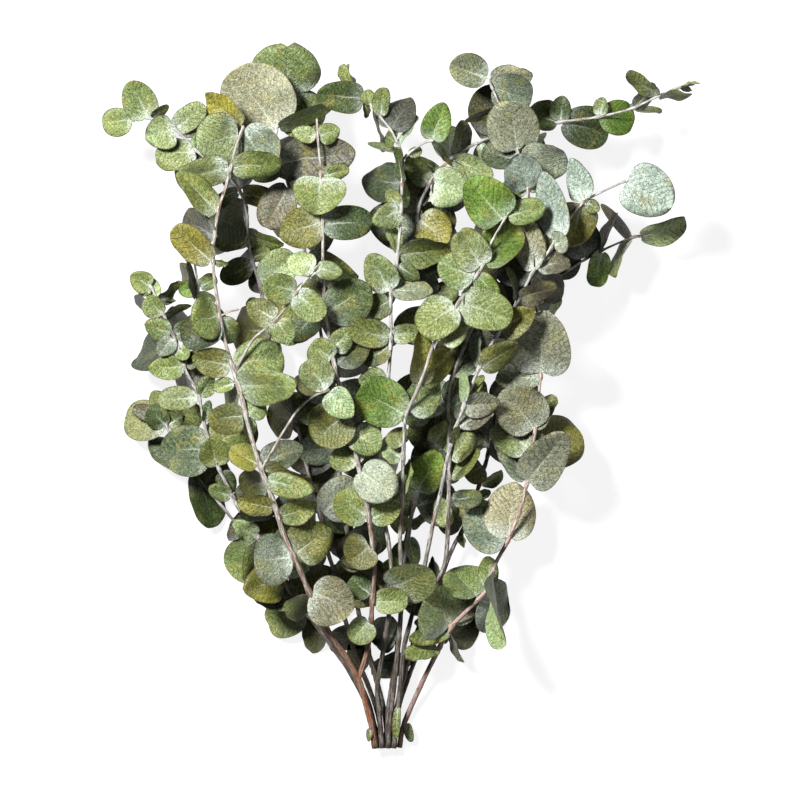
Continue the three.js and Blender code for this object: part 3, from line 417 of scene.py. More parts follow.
def nearest_on_axis(shoot, x, y):
    """Point of the axis nearest to a place seen from above, its radius and its distance from the foot."""
    best = None
    for i in range(1, len(shoot.axis)):
        a, b = shoot.axis[i - 1], shoot.axis[i]
        span = b[:2] - a[:2]
        share = np.clip(((x - a[0]) * span[0] + (y - a[1]) * span[1]) / np.dot(span, span), 0, 1)
        point = a + (b - a) * share
        distance = math.hypot(point[0] - x, point[1] - y)
        if best is None or distance < best[0]:
            along = shoot.reach[i - 1] + share * (shoot.reach[i] - shoot.reach[i - 1])
            best = (distance, point, shoot.radii[i - 1], along)
    return best[1:]


def growth(draw, base, radius, tip_x, tip_y, shown_width, rise):
    run = np.array([tip_x - base[0], tip_y - base[1]])
    seen_length = math.hypot(*run) * LENGTH_SHARE
    seen_width = shown_width * WIDTH_SHARE
    length = max(seen_length, SHORTEST * seen_width)
    width = max(seen_width, NARROWEST * seen_length)
    roll_side = 1 if draw(0, 1) < 0.5 else -1
    lean = rise * (min(MOST_LEAN, math.acos(seen_length / length)) + draw(-0.05, 0.16))
    roll = roll_side * min(MOST_ROLL, math.acos(seen_width / width)) + draw(-0.1, 0.1)
    cup = draw(0.04, 0.28)
    curl = draw(-0.1, 0.08)
    return SimpleNamespace(base=base, radius=radius, direction=run / math.hypot(*run), length=length,
                           width=width, lean=lean, roll=roll, cup=cup, curl=curl, small=width < SMALL_WIDTH)


def set_axes(leaf):
    x, y = leaf.direction
    along = np.array([x * math.cos(leaf.lean), y * math.cos(leaf.lean), math.sin(leaf.lean)])
    flat = np.array([y, -x, 0.0])
    upright = np.cross(flat, along)
    leaf.along = along
    leaf.normal = upright * math.cos(leaf.roll) + flat * math.sin(leaf.roll)
    leaf.side = flat * math.cos(leaf.roll) - upright * math.sin(leaf.roll)
    return leaf


def stretch(before, after):
    return min(MOST_STRETCH, max(LEAST_STRETCH, math.cos(before) / math.cos(after)))


def turned(leaf, lean, roll, scale):
    changed = SimpleNamespace(**vars(leaf))
    changed.lean = leaf.lean + math.radians(lean)
    changed.roll = leaf.roll + math.radians(roll)
    changed.length = leaf.length * scale * stretch(leaf.lean, changed.lean)
    changed.width = leaf.width * scale * stretch(leaf.roll, changed.roll)
    return set_axes(changed)


def solid_corners(leaf):
    """Upper corners of the solid blade: the tip, then round the outline."""
    half = leaf.width / 2
    outline = SMALL_HALF_OUTLINE if leaf.small else HALF_OUTLINE
    face = -leaf.normal if leaf.normal[2] < 0 else leaf.normal
    places = [(1, 0)] + [(share, half * wide * hand) for share, wide in outline for hand in (1, -1)]
    corners = []
    for share, offset in places:
        height = leaf.cup * offset * offset / half - leaf.curl * leaf.length * share * share
        point = leaf.base + leaf.along * leaf.length * share + leaf.side * offset + leaf.normal * height
        pressed = point[2] <= SOLID_THICKNESS / 2
        point[2] = max(point[2], SOLID_THICKNESS / 2)
        over = point + face * SOLID_THICKNESS / 2
        under = 0 if pressed else max(0, point[2] - face[2] * SOLID_THICKNESS / 2)
        over[2] = max(over[2], SOLID_ON_FLOOR if under == 0 else under)
        corners.append(over)
    return corners


def as_grown(leaf, vertices):
    """The leaf as it stands in the solid, or None where the solid has none."""
    for scale in GROWTHS:
        for lean in LEANS:
            for roll in ROLLS:
                tried = turned(leaf, lean, roll, scale)
                found = [vertices.find(corner)[2] < SAME_PLACE for corner in solid_corners(tried)]
                if found[0] and sum(found) > len(found) / 2:
                    return tried
    return None


# Fine blades

def blade_pattern():
    """Faces of one fine blade, which of them are on the underside, and which corners are on its edge."""
    rows = PETIOLE_ROWS + BLADE_ROWS
    columns = len(COLUMNS)
    tip = rows * columns + rows * (columns - 2)

    def top(row, column):
        return row * columns + column

    def under(row, column):
        if column in (0, columns - 1):
            return top(row, column)
        return rows * columns + row * (columns - 2) + column - 1

    faces = []
    below = []
    for row in range(rows - 1):
        for column in range(columns - 1):
            square = [(row, column), (row, column + 1), (row + 1, column + 1), (row + 1, column)]
            faces.append([top(*place) for place in square])
            faces.append([under(*place) for place in reversed(square)])
            below += [0, 1]
    for column in range(columns - 1):
        faces.append([top(rows - 1, column), top(rows - 1, column + 1), tip])
        faces.append([under(rows - 1, column + 1), under(rows - 1, column), tip])
        below += [0, 1]
        cap = [under(0, column), under(0, column + 1), top(0, column + 1), top(0, column)]
        faces.append(list(dict.fromkeys(cap)))
        below.append(0)
    edge = [top(row, column) for row in range(rows) for column in (0, columns - 1)] + [tip]
    return faces, below, edge


def blade_looks(draw):
    """What makes one leaf differ from the next: its outline, its bends, and its bloom and tone."""
    return SimpleNamespace(
        base_power=draw(0.24, 0.42), tip_power=draw(0.36, 0.64), skew=draw(-0.09, 0.09),
        heart=draw(0.0, 0.07), wave=draw(0.02, 0.08), waves=round(draw(1.6, 3.4)), phase=draw(0, FULL_TURN),
        twist=draw(-0.2, 0.2), dent=draw(-0.04, 0.04), fold=draw(0.0, 0.85),
        crease=max(0.0, draw(-0.2, 0.36)), left_lip=draw(-0.12, 0.3), right_lip=draw(-0.12, 0.3),
        ripple=draw(0.2, 1.0), ripples=round(draw(5, 9)), bloom=draw(0.2, 1.0), seed=draw(0, 1),
        light=draw(0.8, 1.2), warm=draw(-0.07, 0.07))


def fine_blade(leaf, looks, ease):
    """Corners of a fine blade in millimetres, its coordinates on the leaf, and its upper side as a grid."""
    length = leaf.length
    half = leaf.width / 2
    neck = min(LONGEST_PETIOLE, (leaf.radius + PETIOLE_REACH) / length)
    step = (1 - np.cos(np.pi * np.arange(BLADE_ROWS) / BLADE_ROWS)) / 2
    peak = looks.base_power / (looks.base_power + looks.tip_power)
    most = peak ** looks.base_power * (1 - peak) ** looks.tip_power
    wide = half * step ** looks.base_power * (1 - step) ** looks.tip_power / most
    shares = np.concatenate([np.array(PETIOLE_SHARES) * neck, neck + (1 - neck) * step])
    widths = np.concatenate([[PETIOLE_HALF] * PETIOLE_ROWS, np.maximum(wide, PETIOLE_HALF)])
    blade = np.concatenate([np.zeros(PETIOLE_ROWS), step])[:, None]
    stalk = np.concatenate([np.ones(PETIOLE_ROWS + 1), np.zeros(BLADE_ROWS - 1)])[:, None]
    column = np.array(COLUMNS)[None, :]
    offset = widths[:, None] * column * (1 + looks.skew * column)
    heart = looks.heart * (1 - stalk) * (1 - blade) ** 3 * column ** 2
    share = shares[:, None] - heart + 0 * column

    long_way = (blade - 0.5) * 2
    turn = np.arctan2(offset / half, long_way)
    out = np.minimum(1, (offset / half) ** 2 + long_way ** 2)
    held = smooth(0.0, 0.35, blade) * ease
    wave = looks.wave * length * out * np.sin(looks.waves * turn + looks.phase) * held
    wave = wave + looks.twist * offset * blade * ease
    wave = wave + looks.dent * length * np.sin(3 * blade + looks.phase) * held
    wave = wave + looks.ripple * np.abs(column) ** 5 * np.sin(looks.ripples * turn + looks.phase) * held
    trough = looks.fold * np.abs(offset) + (1 - looks.fold) * offset ** 2 / half
    lip = np.where(column < 0, looks.left_lip, looks.right_lip) * half
    lip = lip * np.clip((np.abs(column) - 0.45) / 0.55, 0, 1) ** 2
    crease = looks.crease * min(1, CREASE_HALF / half)
    wave = wave + (crease * (np.abs(offset) - 0.4 * half * np.abs(column)) - lip) * held
    bend = leaf.cup * trough - leaf.curl * length * share ** 2 + wave
    tip_bend = -leaf.curl * length + looks.wave * length * np.sin(looks.phase) * ease
    tip_bend = tip_bend + looks.dent * length * np.sin(3 + looks.phase) * ease

    def place(along, sideways, up):
        return (leaf.base + np.multiply.outer(along, leaf.along) + np.multiply.outer(sideways, leaf.side)
                + np.multiply.outer(up, leaf.normal))

    round_stalk = PETIOLE_HALF * np.sqrt(np.maximum(0, 1 - column ** 2))
    flat_blade = HALF_THICKNESS * np.sqrt(np.maximum(0, 1 - column ** 6))
    thick = np.where(stalk > 0, round_stalk, flat_blade)
    rib = np.exp(-(offset / RIB_WIDTH) ** 2) * (1 - stalk) * (1 - 0.8 * blade)
    along = length * share
    over = place(along, offset, bend + thick - RIB_GROOVE * rib)
    below = place(along, offset, bend - thick - RIB_RIDGE * rib)
    tip = place(np.array([length]), np.zeros(1), np.array([tip_bend]))
    over[..., 2] = np.maximum(over[..., 2], TOP_ON_FLOOR)
    below[..., 2] = np.maximum(below[..., 2], UNDERSIDE_ON_FLOOR)
    tip[..., 2] = np.maximum(tip[..., 2], TIP_ON_FLOOR)

    flat = np.stack([along, offset], -1)
    outline = np.concatenate([flat[PETIOLE_ROWS:, 0], flat[PETIOLE_ROWS:, -1], [(length, 0)]])
    margin = np.linalg.norm(flat[:, :, None] - outline, axis=-1).min(-1)
    local = np.concatenate([flat, margin[..., None]], -1)
    corners = np.concatenate([over.reshape(-1, 3), below[:, 1:-1].reshape(-1, 3), tip])
    coordinates = np.concatenate([local.reshape(-1, 3), local[:, 1:-1].reshape(-1, 3), [(length, 0, 0)]])
    return corners, coordinates, over


def outer_surface(leaf, grid):
    """The blade away from its own root, for telling whether it touches another."""
    from_root = np.linalg.norm(grid - leaf.base, axis=-1)
    rows, columns = from_root.shape
    faces = []
    for row in range(PETIOLE_ROWS, rows - 1):
        for column in range(columns - 1):
            if from_root[row, column] > ROOT_REACH:
                at = row * columns + column
                faces.append((at, at + 1, at + columns + 1, at + columns))
    return BVHTree.FromPolygons(grid.reshape(-1, 3).tolist(), faces)


def clear_of(tree, low, high, others):
    for other_low, other_high, other in others:
        if np.any(low > other_high) or np.any(high < other_low):
            continue
        if tree.overlap(other):
            return False
    return True


# Stems

def stem_route(shoot):
    """Points close together on a smooth curve through the axis, with the radius and distance at each."""
    before = 2 * shoot.axis[0] - shoot.axis[1]
    beyond = 2 * shoot.axis[-1] - shoot.axis[-2]
    axis = np.concatenate([[before], shoot.axis, [beyond]])
    points, radii, reach = [], [], []
    for i in range(1, len(axis) - 2):
        a, b, c, d = axis[i - 1:i + 3]
        steps = max(2, math.ceil(np.linalg.norm(c - b) / STEM_STEP))
        for k in range(steps):
            t = k / steps
            points.append(0.5 * (2 * b + (c - a) * t + (2 * a - 5 * b + 4 * c - d) * t ** 2
                                 + (3 * b - a - 3 * c + d) * t ** 3))
            radii.append(shoot.radii[i - 1] + (shoot.radii[i] - shoot.radii[i - 1]) * t)
            reach.append(shoot.reach[i - 1] + (shoot.reach[i] - shoot.reach[i - 1]) * t)
    points.append(shoot.axis[-1])
    radii.append(shoot.radii[-1])
    reach.append(shoot.reach[-1])
    return np.array(points), np.array(radii) * ROUND_SHARE, np.array(reach)


def bark_colour(node, distance):
    stops = STEM_COLOURS.get(node, OTHER_STEM_COLOURS)
    places = [stop[0] for stop in stops]
    colours = np.array([linear(stop[1]) for stop in stops])
    return np.stack([np.interp(distance, places, colours[:, part]) for part in range(3)], -1)


def stem_mesh(shoot, from_cut, draw):
    """Corners, faces, coordinates on the bark and colours of a stem with its foot from_cut up the bunch."""
    points, radii, reach = stem_route(shoot)
    heading = np.gradient(points, axis=0)
    heading /= np.linalg.norm(heading, axis=1)[:, None]
    side = np.stack([heading[:, 1], -heading[:, 0], 0 * heading[:, 0]], -1)
    side /= np.linalg.norm(side, axis=1)[:, None]
    up = np.cross(side, heading)
    swell = sum(np.exp(-((reach - joint) / SWELLING_REACH) ** 2) for joint in sorted(set(shoot.joints)))
    swell = np.minimum(1, swell) if shoot.joints else 0 * reach
    phase = draw(0, FULL_TURN)
    angle = np.arange(STEM_SIDES) * 2 * np.pi / STEM_SIDES
    rough = 1
    for depth, pace, lobes, shift in BARK_WAVES:
        rough = rough + depth * np.sin(pace * reach[:, None] + lobes * angle + shift * phase)
    ring = radii[:, None] * rough + SWELLING * swell[:, None]
    out = side[:, None] * np.cos(angle)[None, :, None] + up[:, None] * np.sin(angle)[None, :, None]
    rings = points[:, None] + out * ring[..., None]
    cut = points[0] + out[0] * (ring[0] * CUT_SHARE)[:, None] - heading[0] * CUT_DEPTH
    corners = np.concatenate([cut, rings.reshape(-1, 3), [points[0] - heading[0] * CUT_DEPTH],
                              [points[-1] + heading[-1] * radii[-1] * TIP_SHARE]])
    corners[:, 2] = np.maximum(corners[:, 2], 0.0)
    around = np.broadcast_to(angle / (2 * np.pi), ring.shape)
    along = np.broadcast_to(reach[:, None] + from_cut, ring.shape)
    place = np.stack([along, around, ring], -1).reshape(-1, 3)
    place = np.concatenate([place[:STEM_SIDES], place, place[:1], place[-1:]])
    bark = bark_colour(shoot.node, along.reshape(-1))
    wood = np.broadcast_to(linear(CUT_WOOD), (STEM_SIDES, 3))
    colours = np.concatenate([wood, bark, [linear(CUT_PITH)], bark[-1:]])
    faces = []
    for row in range(len(points)):
        for k in range(STEM_SIDES):
            here = row * STEM_SIDES + k
            beside = row * STEM_SIDES + (k + 1) % STEM_SIDES
            faces.append((here, here + STEM_SIDES, beside + STEM_SIDES, beside))
    foot = (len(points) + 1) * STEM_SIDES
    for k in range(STEM_SIDES):
        beside = (k + 1) % STEM_SIDES
        last = len(points) * STEM_SIDES
        faces.append((foot, k, beside))
        faces.append((foot + 1, last + beside, last + k))
    return corners, faces, place, colours


# Meshes

def add_attribute(mesh, name, kind, domain, values):
    layer = mesh.attributes.new(name, kind, domain)
    field = {"FLOAT_VECTOR": "vector", "FLOAT_COLOR": "color", "FLOAT": "value", "BOOLEAN": "value"}[kind]
    number = bool if kind == "BOOLEAN" else np.float32
    layer.data.foreach_set(field, np.ascontiguousarray(values, number).ravel())


def with_alpha(colours):
    return np.concatenate([colours, np.ones((len(colours), 1))], 1)


def new_piece(name, corners, faces):
    mesh = bpy.data.meshes.new(name)
    mesh.from_pydata((np.asarray(corners) * METRE).tolist(), [], faces)
    mesh.polygons.foreach_set("use_smooth", np.ones(len(mesh.polygons), bool))
    piece = bpy.data.objects.new(name, mesh)
    bpy.context.scene.collection.objects.link(piece)
    return piece


def leaves_piece(node, blades, material):
    faces, below, edge = blade_pattern()
    corners, all_faces, coordinates, kinds, colours, shades, rims = [], [], [], [], [], [], []
    start = 0
    for blade in blades:
        count = len(blade.corners)
        corners.append(blade.corners)
        coordinates.append(blade.coordinates)
        kinds.append(np.broadcast_to((blade.leaf.length, blade.looks.bloom, blade.looks.seed), (count, 3)))
        colours.append(np.broadcast_to(blade.colour, (count, 3)))
        shades.append(np.full(count, blade.shade))
        all_faces += [[start + corner for corner in face] for face in faces]
        rims += [start + corner for corner in edge]
        start += count
    piece = new_piece(node + "_leaves", np.concatenate(corners), all_faces)
    mesh = piece.data
    add_attribute(mesh, "leaf_mm", "FLOAT_VECTOR", "POINT", np.concatenate(coordinates))
    add_attribute(mesh, "leaf_kind", "FLOAT_VECTOR", "POINT", np.concatenate(kinds))
    add_attribute(mesh, "leaf_colour", "FLOAT_COLOR", "POINT", with_alpha(np.concatenate(colours)))
    # Painted shade of each leaf, 1 where none is painted
    add_attribute(mesh, "leaf_shade", "FLOAT", "POINT", np.concatenate(shades))
    add_attribute(mesh, "leaf_under", "FLOAT", "FACE", np.tile(below, len(blades)))
    on_rim = np.zeros(start, bool)
    on_rim[rims] = True
    ends = np.zeros(2 * len(mesh.edges), np.int32)
    mesh.edges.foreach_get("vertices", ends)
    add_attribute(mesh, "sharp_edge", "BOOLEAN", "EDGE", on_rim[ends.reshape(-1, 2)].all(1))
    mesh.materials.append(material)
    return piece


def wood_piece(node, stems, material):
    corners, all_faces, places, colours = [], [], [], []
    start = 0
    for points, faces, place, colour in stems:
        corners.append(points)
        places.append(place)
        colours.append(colour)
        all_faces += [[start + corner for corner in face] for face in faces]
        start += len(points)
    piece = new_piece(node + "_wood", np.concatenate(corners), all_faces)
    add_attribute(piece.data, "bark_place", "FLOAT_VECTOR", "POINT", np.concatenate(places))
    add_attribute(piece.data, "bark_colour", "FLOAT_COLOR", "POINT", with_alpha(np.concatenate(colours)))
    piece.data.materials.append(material)
    return piece


# Materials

class Nodes:
    """Short names for the nodes that the materials are made of."""

    def __init__(self, name):
        self.material = bpy.data.materials.new(name)
        self.material.use_nodes = True
        self.tree = self.material.node_tree
        self.shader = self.tree.nodes["Principled BSDF"]

    def new(self, kind, **settings):
        node = self.tree.nodes.new(kind)
        for key, value in settings.items():
            setattr(node, key, value)
        return node

    def put(self, value, socket):
        if isinstance(value, bpy.types.NodeSocket):
            self.tree.links.new(value, socket)
        else:
            socket.default_value = value

    def attribute(self, name, output):
        return self.new("ShaderNodeAttribute", attribute_name=name).outputs[output]

    def split(self, vector):
        node = self.new("ShaderNodeSeparateXYZ")
        self.put(vector, node.inputs[0])
        return node.outputs

    def join(self, x, y, z):
        node = self.new("ShaderNodeCombineXYZ")
        for value, socket in zip((x, y, z), node.inputs):
            self.put(value, socket)
        return node.outputs[0]

    def math(self, operation, *values):
        node = self.new("ShaderNodeMath", operation=operation)
        for value, socket in zip(values, node.inputs):
            self.put(value, socket)
        return node.outputs[0]

    def times(self, first, second):
        return self.math("MULTIPLY", first, second)

    def line(self, value, slope, start):
        """The value times the slope, plus the start."""
        return self.math("MULTIPLY_ADD", value, slope, start)

    def band(self, value, low, high):
        """0 below low, 1 above high, smooth between; the other way round where low is above high."""
        node = self.new("ShaderNodeMapRange", interpolation_type="SMOOTHSTEP")
        self.put(value, node.inputs["Value"])
        swapped = low > high
        node.inputs["From Min"].default_value = min(low, high)
        node.inputs["From Max"].default_value = max(low, high)
        node.inputs["To Min"].default_value = 1.0 if swapped else 0.0
        node.inputs["To Max"].default_value = 0.0 if swapped else 1.0
        return node.outputs["Result"]

    def mix(self, share, first, second):
        node = self.new("ShaderNodeMix", data_type="RGBA")
        self.put(share, node.inputs["Factor"])
        for value, socket in ((first, node.inputs[6]), (second, node.inputs[7])):
            self.put(value if isinstance(value, bpy.types.NodeSocket) else (*linear(value), 1), socket)
        return node.outputs[2]

    def tint(self, colour, share, strength, other):
        return self.mix(self.times(share, strength), colour, other)

    def scale(self, colour, value):
        node = self.new("ShaderNodeVectorMath", operation="SCALE")
        self.put(colour, node.inputs[0])
        self.put(value, node.inputs["Scale"])
        return node.outputs[0]

    def noise(self, vector, scale, detail=2.0, rough=0.5):
        node = self.new("ShaderNodeTexNoise")
        self.put(vector, node.inputs["Vector"])
        node.inputs["Scale"].default_value = scale
        node.inputs["Detail"].default_value = detail
        node.inputs["Roughness"].default_value = rough
        return node.outputs["Fac"]

    def cells(self, vector, scale):
        """Distance from the edges of a net of cells."""
        node = self.new("ShaderNodeTexVoronoi", feature="DISTANCE_TO_EDGE")
        self.put(vector, node.inputs["Vector"])
        node.inputs["Scale"].default_value = scale
        return node.outputs["Distance"]

    def bump(self, height, strength, distance):
        node = self.new("ShaderNodeBump")
        node.inputs["Strength"].default_value = strength
        node.inputs["Distance"].default_value = distance
        self.put(height, node.inputs["Height"])
        self.put(node.outputs[0], self.shader.inputs["Normal"])


def leaf_material():
    n = Nodes("eucalyptus_leaf")
    along, offset, margin = n.split(n.attribute("leaf_mm", "Vector"))
    length, bloom, seed = n.split(n.attribute("leaf_kind", "Vector"))
    under = n.attribute("leaf_under", "Fac")
    shade = n.attribute("leaf_shade", "Fac")
    sideways = n.math("ABSOLUTE", offset)
    spot = n.join(along, offset, n.times(seed, 700.0))
    broad = n.noise(spot, 0.07, 2.0)
    patches = n.noise(spot, 0.16, 3.0, 0.6)
    mottle = n.noise(spot, 0.34, 3.0, 0.6)
    fine = n.noise(spot, 0.95, 3.0, 0.7)
    specks = n.noise(spot, 0.6, 1.0)
    grains = n.noise(spot, 1.4, 1.0)
    net = n.cells(spot, 0.36)

    # Side veins run forward from the midrib, bow towards the tip, wander and fade
    share = n.math("DIVIDE", along, length)
    bowed = n.times(sideways, n.line(n.math("DIVIDE", sideways, length), 0.9, 0.7))
    vein_place = n.math("DIVIDE", n.math("SUBTRACT", along, bowed), n.times(length, 0.13))
    vein_place = n.line(patches, 1.7, vein_place)
    to_vein = n.math("ABSOLUTE", n.math("SUBTRACT", n.math("FRACT", vein_place), 0.5))
    side_vein = n.times(n.band(to_vein, 0.13, 0.04), n.band(mottle, 0.28, 0.48))
    to_rib = n.math("ABSOLUTE", n.line(n.math("SUBTRACT", broad, 0.5), 5.0, offset))
    rib_flank = n.times(n.band(to_rib, 2.4, 0.4), n.band(share, 0.75, 0.1))
    rib_line = n.times(n.band(to_rib, 0.55, 0.2), n.band(share, 0.8, 0.25))
    near_base = n.band(share, 0.55, 0.06)

    # Green of the blade, from yellowish to deep green, with light and dark mottling
    colour = n.tint(n.attribute("leaf_colour", "Color"), n.band(broad, 0.5, 0.68), 0.35, YELLOWED)
    colour = n.tint(colour, n.band(broad, 0.48, 0.3), 0.35, DEEP_GREEN)
    light = n.line(n.band(fine, 0.34, 0.66), 0.7, 0.65)
    colour = n.scale(colour, n.times(light, n.line(n.band(mottle, 0.32, 0.68), 0.5, 0.75)))

    # Waxy bloom: whitish, thickest round the base and along the veins
    star = n.band(share, 0.34, 0.03)
    wax = n.times(n.line(near_base, 0.35, 0.12), n.band(mottle, 0.4, 0.62))
    wax = n.line(n.times(side_vein, near_base), 0.4, wax)
    wax = n.times(wax, n.line(n.band(fine, 0.36, 0.58), 0.8, 0.2))
    wax = n.line(n.times(star, n.band(fine, 0.3, 0.6)), 0.8, wax)
    wax = n.line(rib_flank, 0.3, wax)
    colour = n.tint(colour, n.math("MINIMUM", wax, 1.0), n.times(bloom, 0.9), BLOOM)
    colour = n.tint(colour, n.band(grains, 0.6, 0.68), n.times(bloom, 0.4), DUST)

    # Fine net of veins, specks, blemishes and midrib
    colour = n.scale(colour, n.line(n.band(net, 0.12, 0.03), -0.2, 1.0))
    colour = n.tint(colour, n.band(specks, 0.61, 0.69), 0.65, SPECK)
    colour = n.tint(colour, n.band(patches, 0.68, 0.76), 0.45, BLEMISH)
    dark_vein = n.times(n.times(side_vein, n.line(near_base, -0.7, 0.85)), n.band(seed, 0.2, 0.5))
    colour = n.scale(colour, n.line(dark_vein, -0.45, 1.0))
    colour = n.tint(colour, n.times(side_vein, n.band(seed, 0.45, 0.2)), 0.3, PALE_VEIN)
    colour = n.tint(colour, rib_line, 0.55, MIDRIB)

    # Greyer underside, then the edge
    under_colour = n.tint(UNDERSIDE, side_vein, 0.3, UNDERSIDE_VEIN)
    under_colour = n.tint(under_colour, n.band(mottle, 0.4, 0.65), 0.5, UNDERSIDE_PATCH)
    colour = n.tint(colour, under, 0.6, under_colour)
    colour = n.tint(colour, n.band(margin, 1.0, 0.25), 0.7, RIM)
    # Leaves deep in the bunch are darkened here by their painted shade
    n.put(n.scale(colour, shade), n.shader.inputs["Base Color"])
    n.put(n.line(mottle, 0.35, 0.28), n.shader.inputs["Roughness"])
    n.shader.inputs["Specular IOR Level"].default_value = 0.4

    height = n.line(mottle, 0.6, n.times(fine, 0.35))
    height = n.line(side_vein, -0.4, height)
    height = n.line(n.band(net, 0.12, 0.02), -0.25, height)
    n.bump(height, 0.8, 0.0008)
    return n.material


def bark_material():
    n = Nodes("eucalyptus_bark")
    along, around, radius = n.split(n.attribute("bark_place", "Vector"))
    turn = n.times(around, 2 * math.pi)
    bent = n.join(n.times(n.math("COSINE", turn), radius), n.times(n.math("SINE", turn), radius),
                  n.times(along, 0.14))
    fibre = n.noise(bent, 0.8, 4.0, 0.65)
    fleck = n.noise(bent, 1.1, 2.0, 0.6)
    patch = n.noise(bent, 0.12, 2.0)
    colour = n.tint(n.attribute("bark_colour", "Color"), n.band(patch, 0.54, 0.66), 0.6, RUSTY_BARK)
    colour = n.tint(colour, n.band(fibre, 0.48, 0.6), n.line(n.band(along, 80.0, 240.0), 0.45, 0.2), FROST)
    colour = n.tint(colour, n.band(fibre, 0.44, 0.32), 0.6, CREVICE)
    colour = n.tint(colour, n.band(fleck, 0.57, 0.64), 0.8, FLECK)
    n.put(colour, n.shader.inputs["Base Color"])
    n.put(n.line(fibre, 0.3, 0.5), n.shader.inputs["Roughness"])
    n.shader.inputs["Specular IOR Level"].default_value = 0.3
    n.bump(n.math("ADD", fibre, fleck), 0.7, 0.0006)
    return n.material


# Stage

def make_stage():
    mesh = bpy.data.meshes.new("floor")
    edge = FLOOR_HALF
    mesh.from_pydata([(-edge, -edge, 0), (edge, -edge, 0), (edge, edge, 0), (-edge, edge, 0)], [],
                     [(0, 1, 2, 3)])
    floor = bpy.data.objects.new("floor", mesh)
    bpy.context.scene.collection.objects.link(floor)
    paint = bpy.data.materials.new("floor_paint")
    paint.use_nodes = True
    sockets = paint.node_tree.nodes["Principled BSDF"].inputs
    sockets["Base Color"].default_value = (FLOOR_GREY, FLOOR_GREY, FLOOR_GREY, 1)
    sockets["Roughness"].default_value = FLOOR_ROUGHNESS
    sockets["Emission Color"].default_value = (1, 1, 1, 1)
    sockets["Emission Strength"].default_value = FLOOR_GLOW
    mesh.materials.append(paint)
    floor.visible_diffuse = False

    world = bpy.data.worlds.new("studio")
    world.use_nodes = True
    sky = world.node_tree.nodes["Background"].inputs
    sky["Color"].default_value = (1, 1, 1, 1)
    sky["Strength"].default_value = STUDIO_LIGHT
    bpy.context.scene.world = world
    for name, place, size, watts in LAMPS:
        light = bpy.data.lights.new(name, "AREA")
        light.shape = "DISK"
        light.size = size
        light.energy = watts
        lamp = bpy.data.objects.new(name, light)
        lamp.location = place
        lamp.rotation_euler = (-Vector(place)).to_track_quat("-Z", "Y").to_euler()
        bpy.context.scene.collection.objects.link(lamp)


def make_camera():
    data = bpy.data.cameras.new("camera")
    data.sensor_width = SENSOR
    data.lens = SENSOR * CAMERA_HEIGHT / (PICTURE_PIXELS * MM_PER_PIXEL * METRE)
    data.clip_end = FURTHEST_SEEN
    camera = bpy.data.objects.new("camera", data)
    middle = PICTURE_PIXELS / 2
    camera.location = (across(middle) * METRE, upward(middle) * METRE, CAMERA_HEIGHT + FOCUS_HEIGHT)
    bpy.context.scene.collection.objects.link(camera)
    bpy.context.scene.camera = camera


# The bunch

def table_leaves(shoots, draw, roots):
    """The measured leaves, the first of each pair with its tip turned up and the second turned down."""
    for shoot in shoots:
        for base_x, base_y, tip_x, tip_y, seen_width, letter in shoot.leaves:
            point, radius, along = nearest_on_axis(shoot, across(base_x), upward(base_y))
            second = any(np.linalg.norm(point - root) < PAIR_REACH for root in roots[shoot.node])
            leaf = growth(draw, point, radius, across(tip_x), upward(tip_y), seen_width * MM_PER_PIXEL,
                          -1 if second else 1)
            yield shoot, leaf, letter, along


def hidden_leaves(shoots, draw):
    """Leaves in opposite pairs on the hidden side, leaning down to the surface."""
    count = 0
    for node, first_row, last_row, spacing in HIDDEN_RUNS:
        shoot = next(one for one in shoots if one.node == node)
        for row in range(first_row, last_row, -spacing):
            y = upward(row)
            after = next(i for i, point in enumerate(shoot.axis) if point[1] > y)
            heading = shoot.axis[after] - shoot.axis[after - 1]
            share = (y - shoot.axis[after - 1][1]) / heading[1]
            foot = shoot.axis[after - 1] + heading * share
            along = shoot.reach[after - 1] + share * np.linalg.norm(heading)
            for hand in (-1, 1):
                turn = math.atan2(heading[1], heading[0]) + hand * draw(*HIDDEN_TURN)
                length = draw(*HIDDEN_LENGTH)
                wide = length * draw(*HIDDEN_WIDTH)
                leaf = growth(draw, foot, shoot.radii[after - 1], foot[0] + length * math.cos(turn),
                              foot[1] + length * math.sin(turn), wide, -1)
                hang = -math.sin(math.radians(draw(*HIDDEN_LEAN)))
                drops = [(foot[2] + FLOOR_PRESS) / (part * length) for part in (RIB_SHARE, 1)]
                leaf.lean = -math.asin(next((drop for drop in drops if drop < FURTHEST_DROP), hang))
                yield shoot, leaf, HIDDEN_COLOURS[count % len(HIDDEN_COLOURS)], along
                count += 1


def extra_leaves(shoots, draw):
    """More pairs of leaves deep in the bunch, between those of the solids."""
    for shoot in shoots:
        if shoot.reach[-1] < EXTRA_SHORTEST:
            continue
        place = EXTRA_FROM * shoot.reach[-1]
        while place < EXTRA_TO * shoot.reach[-1]:
            after = int(np.searchsorted(shoot.reach, place))
            heading = shoot.axis[after] - shoot.axis[after - 1]
            share = (place - shoot.reach[after - 1]) / (shoot.reach[after] - shoot.reach[after - 1])
            foot = shoot.axis[after - 1] + heading * share
            for hand in (-1, 1, -1, 1):
                turn = math.atan2(heading[1], heading[0]) + hand * draw(*EXTRA_TURN)
                length = draw(*EXTRA_LENGTH)
                leaf = SimpleNamespace(
                    base=foot, radius=shoot.radii[after - 1], direction=(math.cos(turn), math.sin(turn)),
                    length=length, width=length * draw(*EXTRA_WIDTH), lean=0.0, roll=draw(-0.9, 0.9),
                    cup=draw(0.05, 0.3), curl=draw(-0.1, 0.1))
                yield shoot, leaf, EXTRA_COLOURS[int(draw(0, len(EXTRA_COLOURS) - 0.01))], place
            place += draw(*EXTRA_SPACING)


def pressed(corners):
    """Corners with what would go through the surface pressed on it."""
    corners = corners.copy()
    corners[..., 2] = PRESS_DEPTH * np.logaddexp(0, corners[..., 2] / PRESS_DEPTH)
    return corners


